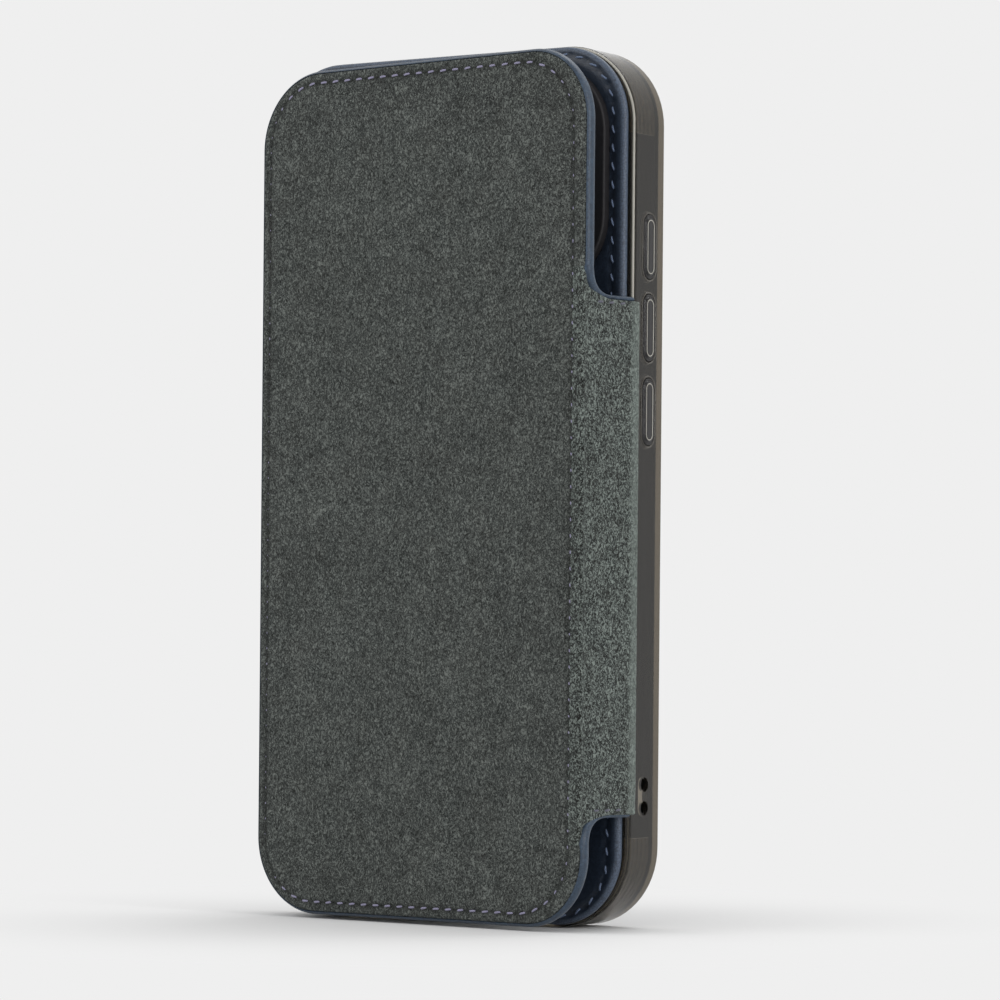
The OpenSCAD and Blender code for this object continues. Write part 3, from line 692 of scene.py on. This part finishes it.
# painted shade: a darker copy of the navy leather, with finer grain, for the back panel in the flap's
# shade
SHADED_PANEL_NAVY = leather_material("navy_panel_shaded", srgb(22, 29, 40), srgb(42, 53, 68), 0.36, 1.3)
FLAP_THREAD = thread_material("thread_lilac", srgb(150, 146, 172), srgb(84, 84, 106))
SPINE_THREAD = thread_material("thread_worn", srgb(96, 96, 110), srgb(56, 58, 66))
PANEL_THREAD = thread_material("thread_blue", srgb(108, 124, 152), srgb(40, 50, 70))
CLEAR = clear_material("clear_tray", srgb(128, 121, 108), 0.05, 0.95, gloss=0.28)
# painted highlight: a light clear for the beads that stand in for the highlights on the tray's back
# edge and the button crowns
HIGHLIGHT_CLEAR = clear_material("clear_painted_highlight", srgb(186, 183, 173), 0.10, 0.25)
RIM = clear_material("clear_rim", srgb(112, 108, 101), 0.08, 0.5)
LIP = clear_material("frosted_lip", srgb(118, 108, 92), 0.18, 0.55, 0.05)
CUSHION = clear_material("cushion_clear", srgb(184, 172, 150), 0.25, 0.25)
COVER = clear_material("cover_clear", srgb(52, 51, 52), 0.05, 0.8, gloss=0.35)
LINER = matt_material("liner_charcoal", srgb(12, 12, 14), srgb(20, 20, 23), 2.2, 0.6)
LINING = matt_material("microfibre", srgb(40, 44, 50), srgb(64, 69, 76), 3.2, 0.95, 0.06)
SURROUND = matt_material("surround_dark", srgb(15, 14, 17), srgb(25, 23, 26), 1.2, 0.65)
BOARD = matt_material("board", srgb(120, 106, 84), srgb(158, 142, 116), 1.4, 0.9, 0.05)
STEEL = brushed_material("nickel", (0.62, 0.62, 0.64))

CAD_MATERIALS = {
    "tray_shell": CLEAR, "front_lip": LIP, "inner_lining": LINING, "camera_surround": SURROUND,
    "side_liner_left": LINER, "side_liner_right": LINER,
    "back_board": BOARD, "flap_board": BOARD, "magnet_ring": STEEL, "alignment_magnet": STEEL,
    **{f"corner_cushion_{end}_{side}": CUSHION
       for end in ("top", "bottom") for side in ("left", "right")},
}


def dress_cad_nodes():
    """Gives every CAD node that stays in view its procedural material."""
    for name, material in CAD_MATERIALS.items():
        node = frame["nodes"][name]
        if not node.material_slots:
            node.data.materials.append(material)
        for entry in node.material_slots:
            entry.material = material


# ---------------------------------------------------------------- cover flap

FLAP_EDGE = Outline(FLAP_EAR - FLAP_W, FLAP_EAR, FLAP_Z0, FLAP_Z1, FLAP_FREE_R, FLAP_HINGE_R)
SUEDE_OUTLINE = FLAP_EDGE.drawn_in(ROLLED_W, ROLLED_W, ROLLED_W)
FLAP_LINE = Outline(FLAP_EDGE.cx - FLAP_EDGE.hw + FLAP_LINE_IN, -FLAP_LINE_HINGE,
                    FLAP_Z0 + FLAP_LINE_IN, FLAP_Z1 - FLAP_LINE_IN, FLAP_LINE_R, FLAP_LINE_R)
RECESS_Z0 = SPINE_Z0 - NOTCH_R
RECESS_Z1 = SPINE_Z1 + NOTCH_R
SUEDE_CUT = -FLAP_LINE_HINGE
HIDE_CUT = -3.6


def line_distance(line, x, z):
    """Distance of a point from a stitch line."""
    return np.abs(line.edge_distance(x, z))


def stitch_channel(line, step, depth, pit):
    """Relief of a stitch line: a soft channel with a pit at each needle hole."""
    at, heading = line.walk(step)
    holes = at - heading * step / 2

    def relief(x, z):
        off = line_distance(line, x, z)
        out = depth * np.exp(-(off / 0.62) ** 2)
        near = off < 1.2
        if near.any():
            pts = np.stack([x[near], z[near]], axis=1)
            best = np.full(len(pts), 1e9)
            for start in range(0, len(holes), 64):
                gap = np.linalg.norm(pts[:, None, :] - holes[None, start:start + 64, :], axis=2)
                best = np.minimum(best, gap.min(axis=1))
            out[near] += pit * np.exp(-(best / 0.42) ** 2)
        return out

    return relief


FLAP_CHANNEL = stitch_channel(FLAP_LINE, FLAP_PITCH, 0.16, 0.22)


def nap(x, z, amount):
    """The suede's own unevenness."""
    pts = np.stack([x.ravel(), z.ravel(), np.zeros(x.size)], axis=1)
    fine = hash_noise(pts, 1.1, 3)
    broad = hash_noise(pts, 0.09, 5)
    return (fine * amount + broad * amount * 2.0).reshape(x.shape)


def suede_relief(x, z, edge):
    """Depth added to the flap's suede face: nap, stitch channel and a slightly padded middle."""
    puff = -0.10 * smoothstep(0.0, 1.1, edge) * (1 - smoothstep(1.2, 3.0, edge))
    return FLAP_CHANNEL(x, z) + nap(x, z, 0.022) + puff


def rolled_edge(face):
    """Profile of the flap's leather edge: a full round roll that ends against the suede."""
    middle, half_depth, bulge = face - ROLL_DEPTH / 2, ROLL_DEPTH / 2, 0.95
    turns = np.linspace(math.pi / 2, -math.radians(62), 13)
    roll = [(bulge * (1 - math.cos(g)), middle + half_depth * math.sin(g)) for g in turns]
    return [(1.5, face)] + roll + [(ROLLED_W + 0.2, -FLAP_SUEDE_BACK + 0.02)]


def mark(piece, name, rule):
    """Stores a number for each point of a piece, from 0 to 1, for its material to read. rule
    takes the points in millimetres."""
    mesh = piece.data
    points = np.empty(len(mesh.vertices) * 3)
    mesh.vertices.foreach_get("co", points)
    values = rule(points.reshape(-1, 3) / MM)
    mesh.attributes.new(name, "FLOAT", "POINT").data.foreach_set("value", values)


def stitch_shade(points):
    """How much painted shade the flap's stitch channel gets: 1 on its line and 0 half a millimetre
    off it.
    """
    along = -(points[:, :2] - AXIS_B) @ FLAP_DIR
    return np.exp(-(line_distance(FLAP_LINE, along, points[:, 2]) / 0.38) ** 2)


def build_flap():
    """Suede lining, rolled leather and both stitch rows of the cover flap."""
    spine_cell = lambda limit: lambda x, z: ~((x > limit) & (z > RECESS_Z0) & (z < RECESS_Z1))
    suede = slab("flap_suede_skin", SUEDE_OUTLINE,
                 [(0.42, -FLAP_SUEDE_FACE), (0.2, -FLAP_SUEDE_FACE + 0.09),
                  (0.05, -FLAP_SUEDE_FACE + 0.26), (0.0, -FLAP_SUEDE_FACE + 0.5),
                  (0.0, -FLAP_SUEDE_BACK - 0.1), (0.1, -FLAP_SUEDE_BACK)],
                 0.45, SUEDE, on_flap, suede_relief, spine_cell(SUEDE_CUT),
                 through_x=[SUEDE_CUT], through_z=[RECESS_Z0, RECESS_Z1])
    # marks the stitch channel that gets painted shade in the suede's colour
    mark(suede, "channel", stitch_shade)
    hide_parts("flap_suede")
    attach(suede, "flap")

    face = -FLAP_HIDE_FACE
    channel = stitch_channel(FLAP_LINE, FLAP_PITCH, -0.14, -0.12)
    hide = slab("flap_leather_skin", FLAP_EDGE, rolled_edge(face), 0.9, NAVY, on_flap,
                lambda x, z, edge: channel(x, z), spine_cell(HIDE_CUT), through_x=[HIDE_CUT],
                through_z=[RECESS_Z0, RECESS_Z1])
    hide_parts("flap_leather", "flap_board")
    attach(hide, "flap")

    at, heading = FLAP_LINE.walk(FLAP_PITCH)
    sink = smoothstep(0.35, 0.95, np.abs(heading[:, 1]))
    for name, depth, out in (("flap_stitches_suede", -FLAP_SUEDE_FACE + 0.06, -1),
                             ("flap_stitches_leather", face - 0.06, 1)):
        local = np.column_stack([at[:, 0], np.full(len(at), depth), at[:, 1]])
        tip = np.column_stack([at[:, 0] + heading[:, 0], np.full(len(at), depth),
                               at[:, 1] + heading[:, 1]])
        world = on_flap(local)
        along = on_flap(tip) - world
        normal = np.append(-out * FLAP_OUT, 0.0)
        row = thread_row(name, world, along, [normal] * len(at), FLAP_THREAD, sink, **FLAP_STITCH)
        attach(row, "flap")
        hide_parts("flap_stitching")


# ---------------------------------------------------------------- spine


def spine_ends(path, low_edge, high_edge):
    """Lower and upper end of the spine at each point of a path. They sweep out near the flap,
    and there the suede's narrow leather border dies away."""
    along = (path - AXIS_A) @ SPINE_DIR
    reach = np.clip((along - NOTCH_START) / (SPINE_LEN - FILLET_END - NOTCH_START), 0, 1)
    flare = NOTCH_R * (1 - np.sqrt(1 - reach ** 2))
    border = 1 - smoothstep(SPINE_LEN - 2.6, SPINE_LEN - FILLET_END, along)
    return SPINE_Z0 + low_edge * border - flare, SPINE_Z1 - high_edge * border + flare


def build_spine():
    """Leather and suede of the spine. Each layer is two pieces that meet in the middle of the
    strip: one runs from the tray's hinge line and one from the flap's crease."""
    build_spine_suede()
    build_spine_leather()
    build_spine_edges()
    build_spine_stitches()


def build_spine_suede():
    """The suede: a turned hem at the tray, the strip, and the bend into the flap."""
    half, end, top, seam = SPINE_LEN / 2, SPINE_LEN, SPINE_SUEDE_FACE, SPINE_SEAM
    hem_face = [AXIS_A + (-0.35, 0.62), AXIS_A + (0.12, 0.98), AXIS_A + (0.46, 0.5)]
    hem_back = [AXIS_A + (-0.45, 0.25), AXIS_A + (-0.2, 0.1), AXIS_A + (-0.3, -0.3)]
    root_face = smooth_path(
        hem_face + along_spine((0.35, top + 0.08), (1.6, top), (3.2, top), (half, top)), 34)
    root_back = smooth_path(
        hem_back + along_spine((1.0, seam), (2.0, seam), (3.4, seam), (half, seam)), 34)
    strip = along_spine((half, top), (end - 3.0, top), (end - 1.5, top - 0.02))
    bend = along_spine((end - 0.7, top - 0.1))
    bend += across_flap((-0.42, 0.25), (-0.68, 0.62), (-0.55, 1.0), (-0.15, 1.2))
    ear = along_spine((end - 0.7, top + 0.1))
    ear += across_flap((-0.66, 0.15), (-0.8, 0.62), (-0.62, 1.0), (-0.2, 1.17))
    face_end = across_flap((0.6, 1.22), (1.3, 1.14), (-SUEDE_CUT, FLAP_SUEDE_FACE - 0.16))
    back = smooth_path(
        along_spine((half, seam), (end - 3.0, seam), (end - 1.8, seam), (end - 1.2, seam + 0.02))
        + across_flap((0.25, -0.45), (0.22, -0.1), (0.4, 0.2), (0.7, 0.3), (1.0, 0.3), (1.4, 0.3),
                      (-SUEDE_CUT, 0.3)), 52)
    crease_face = smooth_path(strip + bend + face_end, 52)
    ear_face = smooth_path(strip + ear + face_end, 52)

    def fuzz(verts):
        push = hash_noise(verts, 1.3, 11) * 0.045 + hash_noise(verts, 0.25, 12) * 0.05
        along = (verts[:, :2] - AXIS_A) @ SPINE_DIR
        push = push * smoothstep(0.0, 0.3, np.abs(along - half))
        push = push * (1 - smoothstep(SPINE_LEN - 0.6, SPINE_LEN, along))
        return verts + np.column_stack([SPINE_OUT[0] * push, SPINE_OUT[1] * push, 0 * push])

    ends = spine_ends(root_face, SUEDE_EDGE, SUEDE_EDGE_TOP)
    piece = ribbon("spine_suede_root", root_face, root_back, ends, SPINE_SUEDE, 0.45, 0.3, fuzz)
    finish_spine_piece(piece, "spine_suede")
    ends = spine_ends(crease_face, SUEDE_EDGE, SUEDE_EDGE_TOP)
    piece = ribbon("spine_suede_crease", crease_face, back, ends, SPINE_SUEDE, 0.45, 0.3, fuzz,
                   (ear_face, back))
    finish_spine_piece(piece, "spine_suede")


def build_spine_leather():
    """The leather: from under the panel's edge, along the strip and round the inner bend."""
    half, end, face, seam = SPINE_LEN / 2, SPINE_LEN, SPINE_HIDE_FACE, SPINE_SEAM - 0.02
    corner = np.array([PANEL_HIGH[0], PANEL_FACE])
    root_face = smooth_path(
        [corner + (-0.55, 0.12), corner + (0.02, 0.25)]
        + along_spine((1.5, face), (2.6, face), (half, face)), 30)
    root_back = smooth_path(
        [corner + (-0.35, 1.1), corner + (0.5, 1.05)]
        + along_spine((1.1, seam - 0.04), (2.4, seam), (half, seam)), 30)
    crease_face = smooth_path(
        along_spine((half, face), (end - 3.2, face), (end - 2.2, face - 0.04))
        + across_flap((1.7, -1.75), (2.2, -1.46), (2.8, FLAP_HIDE_FACE), (-HIDE_CUT, FLAP_HIDE_FACE)),
        34)
    crease_back = smooth_path(
        along_spine((half, seam), (end - 2.4, seam), (end - 1.4, seam - 0.03))
        + across_flap((0.65, -0.55), (1.1, -0.4), (2.2, -0.38), (-HIDE_CUT, -0.38)), 34)
    for name, outer, inner in (("spine_leather_root", root_face, root_back),
                               ("spine_leather_crease", crease_face, crease_back)):
        piece = ribbon(name, outer, inner, spine_ends(outer, 0.0, 0.0), NAVY, 1.0, 0.38)
        finish_spine_piece(piece, "spine_leather")


def swept_roll(centres, across, heights, depths, sides=16):
    """Vertices and faces of a roll with an oval section that changes along its path. across is
    the section's first axis at each centre, with half sizes depths along it and heights
    along the other."""
    centres = np.asarray(centres, float)
    tangents = np.gradient(centres, axis=0)
    tangents /= np.linalg.norm(tangents, axis=1)[:, None]
    verts = []
    for i, centre in enumerate(centres):
        first = across - tangents[i] * (across @ tangents[i])
        first /= np.linalg.norm(first)
        second = np.cross(tangents[i], first)
        verts += ring(centre, first * depths[i], second * heights[i], sides)
    return verts, tube_faces(len(centres), sides)


def notch_line(up_to_ear):
    """Centre line and half sizes of the spine's turned edge, one row for each section: place
    along the spine, height above its end, place out of its face, half height, half depth."""
    half, ear_s = SPINE_LEN / 2, SPINE_LEN - 0.16
    strip_n, ear_n = -0.50, 0.45
    if not up_to_ear:
        return [(s, -EDGE_HALF, strip_n, EDGE_HALF, 0.70) for s in np.linspace(0.55, half, 16)]
    line = [(s, -EDGE_HALF, strip_n, EDGE_HALF, 0.70)
            for s in np.linspace(half, NOTCH_START, 8, endpoint=False)]
    for g in np.linspace(0, math.pi / 2, 26):
        w = float(smoothstep(0.2, 1.5, g))
        inner = EDGE_HALF * math.cos(g)
        line.append((NOTCH_START + (ear_s - NOTCH_START) * math.sin(g),
                     NOTCH_R * (1 - math.cos(g)) - inner, strip_n + (ear_n - strip_n) * w,
                     EDGE_HALF + (EAR_HALF - EDGE_HALF) * w, 0.70 + 0.25 * w))
    for rise in (0.4, 0.8, 1.2):
        line.append((ear_s, NOTCH_R + rise, ear_n, EAR_HALF - 0.03 * rise, 0.95 - 0.06 * rise))
    return line


def build_spine_edges():
    """The leather's turned edge: down the flap's ear, round the notch and along the spine."""
    across = np.append(SPINE_OUT, 0.0)
    for name, up_to_ear in (("spine_edge_root", False), ("spine_edge_crease", True)):
        line = notch_line(up_to_ear)
        verts, faces = [], []
        for edge_z, sign in ((SPINE_Z0, -1), (SPINE_Z1, 1)):
            centres = [np.append(spine_plan(s, n), edge_z + sign * rise) for s, rise, n, _, _ in line]
            part_verts, part_faces = swept_roll(centres, across, [p[3] for p in line],
                                                [p[4] for p in line])
            faces += [tuple(i + len(verts) for i in f) for f in part_faces]
            verts += part_verts
        piece = make_object(name, np.array(verts), faces, NAVY)
        finish_spine_piece(piece, "spine_leather")


def finish_spine_piece(piece, node):
    """Hides the CAD node that a spine piece stands in for, and bakes the piece's transform into its
    mesh.
    """
    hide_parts(node)
    if piece.name.endswith("root"):
        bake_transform(piece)
    else:
        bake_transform(piece)


def build_spine_stitches():
    """The short stitch rows along the spine's upper and lower edges."""
    count = int((SPINE_LEN - 3.0) / FLAP_PITCH)
    first = (SPINE_LEN - (count - 1) * FLAP_PITCH) / 2
    at = []
    for z in (SPINE_Z0 + 1.35, SPINE_Z1 - 1.35):
        for i in range(count):
            plan = spine_plan(first + i * FLAP_PITCH, SPINE_SUEDE_FACE - 0.02)
            at.append(np.append(plan, z))
    along = [np.append(SPINE_DIR, 0.0)] * len(at)
    out = [np.append(SPINE_OUT, 0.0)] * len(at)
    row = thread_row("spine_stitches", at, along, out, SPINE_THREAD, np.zeros(len(at)),
                     **SPINE_STITCH)
    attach(row, "spine")
    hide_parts("spine_stitching")


# ---------------------------------------------------------------- back panel

PANEL_OUTLINE = Outline(-PANEL_W / 2, PANEL_W / 2, PANEL_LOW[2], PANEL_HIGH[2], PANEL_R, PANEL_R)
PANEL_EDGE = PANEL_OUTLINE.drawn_in(0.45, 0.2, 0.3)
PANEL_LINE = Outline(-PANEL_W / 2 + PANEL_LINE_SIDE, PANEL_W / 2 - PANEL_LINE_SIDE,
                     PANEL_LOW[2] + PANEL_LINE_END, PANEL_HIGH[2] - PANEL_LINE_END,
                     PANEL_R - PANEL_LINE_SIDE, PANEL_R - PANEL_LINE_SIDE)
SURROUND_LOW, SURROUND_HIGH = node_box("camera_surround")
HOLE_IN = 0.15
HOLE_R = 12.05
CAMERA_HOLE = Outline(SURROUND_LOW[0] + HOLE_IN, SURROUND_HIGH[0] - HOLE_IN,
                      SURROUND_LOW[2] + HOLE_IN, SURROUND_HIGH[2] - HOLE_IN, HOLE_R, HOLE_R)


def painted_edge_highlight_mask(points):
    """How much the panel's edge is painted lighter, a painted highlight: 1 at its edge and 0 from 1.2
    mm inside it.
    """
    return 1 - smoothstep(0.25, 1.2, PANEL_EDGE.edge_distance(points[:, 0], points[:, 2]))


def build_back_panel():
    """Padded leather panel round the camera opening, with its stitches."""
    channel = stitch_channel(PANEL_LINE, PANEL_PITCH, 0.26, 0.2)

    def relief(x, z, edge):
        hem = -0.15 * np.exp(-((edge - 1.0) / 0.9) ** 2)
        near_hole = CAMERA_HOLE.edge_distance(x, z)
        tuck = 0.25 * np.exp(-(np.maximum(-near_hole, 0) / 0.7) ** 2)
        return channel(x, z) + hem + tuck

    panel = slab("back_leather_skin", PANEL_EDGE,
                 [(1.0, PANEL_FACE + 0.16), (0.62, PANEL_FACE + 0.2), (0.32, PANEL_FACE + 0.36),
                  (0.1, PANEL_FACE + 0.62), (0.0, PANEL_FACE + 0.95), (0.04, PANEL_FACE + 1.3),
                  (0.16, PANEL_FACE + 1.55), (0.5, BACK_Y - 0.02)],
                 0.5, SHADED_PANEL_NAVY, lambda v: v, relief,
                 lambda x, z: CAMERA_HOLE.edge_distance(x, z) < 0.0)
    # marks the panel's edge for its painted highlight
    mark(panel, "painted_edge_highlight", painted_edge_highlight_mask)
    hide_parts("back_leather", "back_board")
    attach(panel, "case")

    at, heading = PANEL_LINE.walk(PANEL_PITCH)
    world = np.column_stack([at[:, 0], np.full(len(at), PANEL_FACE + 0.24), at[:, 1]])
    along = np.column_stack([heading[:, 0], np.zeros(len(at)), heading[:, 1]])
    row = thread_row("back_stitches", world, along, [np.array([0, -1.0, 0])] * len(at),
                     PANEL_THREAD, np.zeros(len(at)), **PANEL_STITCH)
    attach(row, "case")
    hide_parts("back_stitching")


# ---------------------------------------------------------------- tray edge and buttons


BEAD_IN = 0.42


def build_tray_edge():
    """A bead on the tray's outer back edge, light-coloured as a painted highlight of that edge. It
    sinks into the moulding low down.
    """
    outline = Outline(-TRAY_W / 2, TRAY_W / 2, 0, TRAY_H, TRAY_R, TRAY_R)
    at, _ = outline.drawn_in(BEAD_IN, BEAD_IN, BEAD_IN).walk(0.8)
    radii = 0.12 + 0.15 * smoothstep(16, 70, at[:, 1])
    centres = np.column_stack([at[:, 0], np.full(len(at), BACK_Y + BEAD_IN), at[:, 1]])
    tangents = np.roll(centres, -1, axis=0) - np.roll(centres, 1, axis=0)
    tangents /= np.linalg.norm(tangents, axis=1)[:, None]
    out = np.array([0, -1.0, 0])
    verts, sides = [], 12
    for centre, tangent, radius in zip(centres, tangents, radii):
        verts += ring(centre, radius * np.cross(tangent, out), radius * out, sides)
    faces = tube_faces(len(centres), sides, loop=True)
    bead = make_object("tray_edge_highlight_bead", np.array(verts), faces, HIGHLIGHT_CLEAR)
    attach(bead, "case")


def pill_ring(half_w, half_len, inset, sides=20):
    """Points round a slot with round ends, as pairs (across, along)."""
    r = half_w - inset
    turns = [math.pi * k / sides for k in range(sides + 1)]
    return [(end * r * math.cos(g), end * (half_len - half_w + r * math.sin(g)))
            for end in (1, -1) for g in turns]


def pill_loft(name, middle, half_w, half_len, rows, sign, material, closed=False):
    """A solid with a slot's outline. rows are (inset, height along X from the wall's face)."""
    verts = []
    for inset, height in rows:
        for across, along in pill_ring(half_w, half_len, inset):
            verts.append((sign * (TRAY_W / 2 + height), middle[0] + across, middle[1] + along))
    faces = tube_faces(len(rows), len(verts) // len(rows), loop=closed)
    return make_object(name, np.array(verts), faces, material)


BUTTONS = ("action_button", "volume_up_button", "volume_down_button", "power_button",
           "camera_control_button")
# From a cover's hidden flange, up its side, round the step and over the crown
COVER_ROWS = [(0.9, -1.8), (0.9, -1.35), (-0.55, -1.35), (-0.55, -0.95), (-0.1, -0.93),
              (0.0, -0.9), (0.0, 0.04), (0.03, 0.11), (0.10, 0.17), (0.20, 0.19), (0.30, 0.16),
              (0.38, 0.08), (0.44, 0.10), (0.50, 0.22), (0.60, 0.30), (0.75, 0.345),
              (1.0, 0.35), (1.6, 0.35)]
COVER_FLANGE = 0.55
RIM_SIDES = 10


def build_buttons():
    """Button covers with a rounded step and crown, and the rims moulded round their windows."""
    for node in BUTTONS:
        low, high = node_box(node)
        sign = 1 if high[0] > 0 else -1
        middle = (low[1] + high[1]) / 2, (low[2] + high[2]) / 2
        half_w = (high[1] - low[1]) / 2 - COVER_FLANGE
        half_len = (high[2] - low[2]) / 2 - COVER_FLANGE
        cover = pill_loft(node + "_skin", middle, half_w, half_len, COVER_ROWS, sign, COVER)
        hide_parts(node)
        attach(cover, node + "_cover")
        turns = [2 * math.pi * k / RIM_SIDES for k in range(RIM_SIDES)]
        # each cover's crown bead is light-coloured, a painted highlight; the rim round each window is
        # real moulding
        for name, inset, height, r, body, material, slot_name in (
                ("_rim", -0.31, 0.0, 0.14, "case", RIM, "clear_shell"),
                ("_bead", 0.95, 0.31, 0.10, node + "_cover", HIGHLIGHT_CLEAR, "button_cover")):
            rows = [(inset + r * math.cos(g), height + r * math.sin(g)) for g in turns]
            edging = pill_loft(node + name, middle, half_w, half_len, rows, sign, material,
                               closed=True)
            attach(edging, body)


# ---------------------------------------------------------------- studio


BACKDROP = srgb(239, 239, 239)
FLOOR_SHADE = 0.72
FLOOR_FADE = 30, 120


def pale_material():
    """The floor: pale and matt near the case, the colour of the backdrop further off."""
    m = Nodes("pale_floor", deforming=False)
    m.use(Roughness=1.0, Specular_IOR_Level=0.0, Base_Color=(FLOOR_SHADE,) * 3)
    glow = m.add("ShaderNodeEmission", {"Color": BACKDROP, "Strength": 1.0})
    distance = m.add("ShaderNodeVectorMath", {0: m.place}, operation="LENGTH").outputs["Value"]
    near_to_far = {0: m.fade(distance, *FLOOR_FADE), 1: m.shader.outputs[0], 2: glow.outputs[0]}
    m.feed(m.output.inputs[0], m.add("ShaderNodeMixShader", near_to_far).outputs[0])
    return m.material


def area_light(name, place, aim, size, power):
    """A rectangular softbox of so many watts at place, in metres, turned towards aim."""
    light = bpy.data.lights.new(name, "AREA")
    light.shape = "RECTANGLE"
    light.size, light.size_y = size
    light.energy = power
    obj = bpy.data.objects.new(name, light)
    bpy.context.scene.collection.objects.link(obj)
    obj.location = place
    obj.rotation_euler = (Vector(aim) - Vector(place)).to_track_quat("-Z", "Y").to_euler()


def build_studio():
    """Pale floor, even surround light and three softboxes."""
    half = 6.0
    mesh = bpy.data.meshes.new("floor")
    mesh.from_pydata([(-half, -half, 0), (half, -half, 0), (half, half, 0), (-half, half, 0)],
                     [], [(0, 1, 2, 3)])
    floor = bpy.data.objects.new("floor", mesh)
    bpy.context.scene.collection.objects.link(floor)
    floor.location.z = -0.0002
    mesh.materials.append(pale_material())

    bpy.context.scene.view_settings.view_transform = "Standard"
    world = bpy.data.worlds.new("studio")
    bpy.context.scene.world = world
    world.use_nodes = True
    background = world.node_tree.nodes["Background"]
    background.inputs[0].default_value = (*BACKDROP, 1)
    background.inputs[1].default_value = 1.0
    area_light("key_left", (-0.55, -0.85, 0.75), (0, 0, 0.08), (0.7, 0.9), 3.5)
    area_light("side_right", (0.95, -0.2, 0.4), (0.03, 0, 0.08), (0.3, 0.9), 4.0)
    area_light("top_back", (0.1, 0.5, 0.9), (0, 0, 0.1), (0.8, 0.4), 2.0)


def build_camera():
    """A level camera behind the case and round to its hinge side, lens shifted as for a
    product shot, so that upright edges stay upright."""
    turn = math.radians(33.107)
    distance = 0.78685
    eye_height = 0.048
    depth_origin = -0.004225
    focal_share = 4.4215
    roll = 0.009
    camera = bpy.data.cameras.new("camera")
    camera.sensor_width = 36
    camera.lens = 36 * focal_share
    camera.shift_x = 0.0502
    camera.shift_y = 0.1508
    camera.clip_start = 0.01
    obj = bpy.data.objects.new("camera", camera)
    bpy.context.scene.collection.objects.link(obj)
    back = Vector((math.sin(turn), -math.cos(turn), 0))
    right = Vector((math.cos(turn), math.sin(turn), 0))
    up = Vector((0, 0, 1))
    look = Matrix((right, up, back)).transposed().to_4x4()
    place = Matrix.Translation(back * distance + Vector((0, depth_origin, eye_height)))
    obj.matrix_world = place @ look @ Matrix.Rotation(roll, 4, "Z")
    bpy.context.scene.camera = obj


build_camera()
build_studio()
dress_cad_nodes()
build_flap()
build_spine()
build_back_panel()
build_tray_edge()
build_buttons()
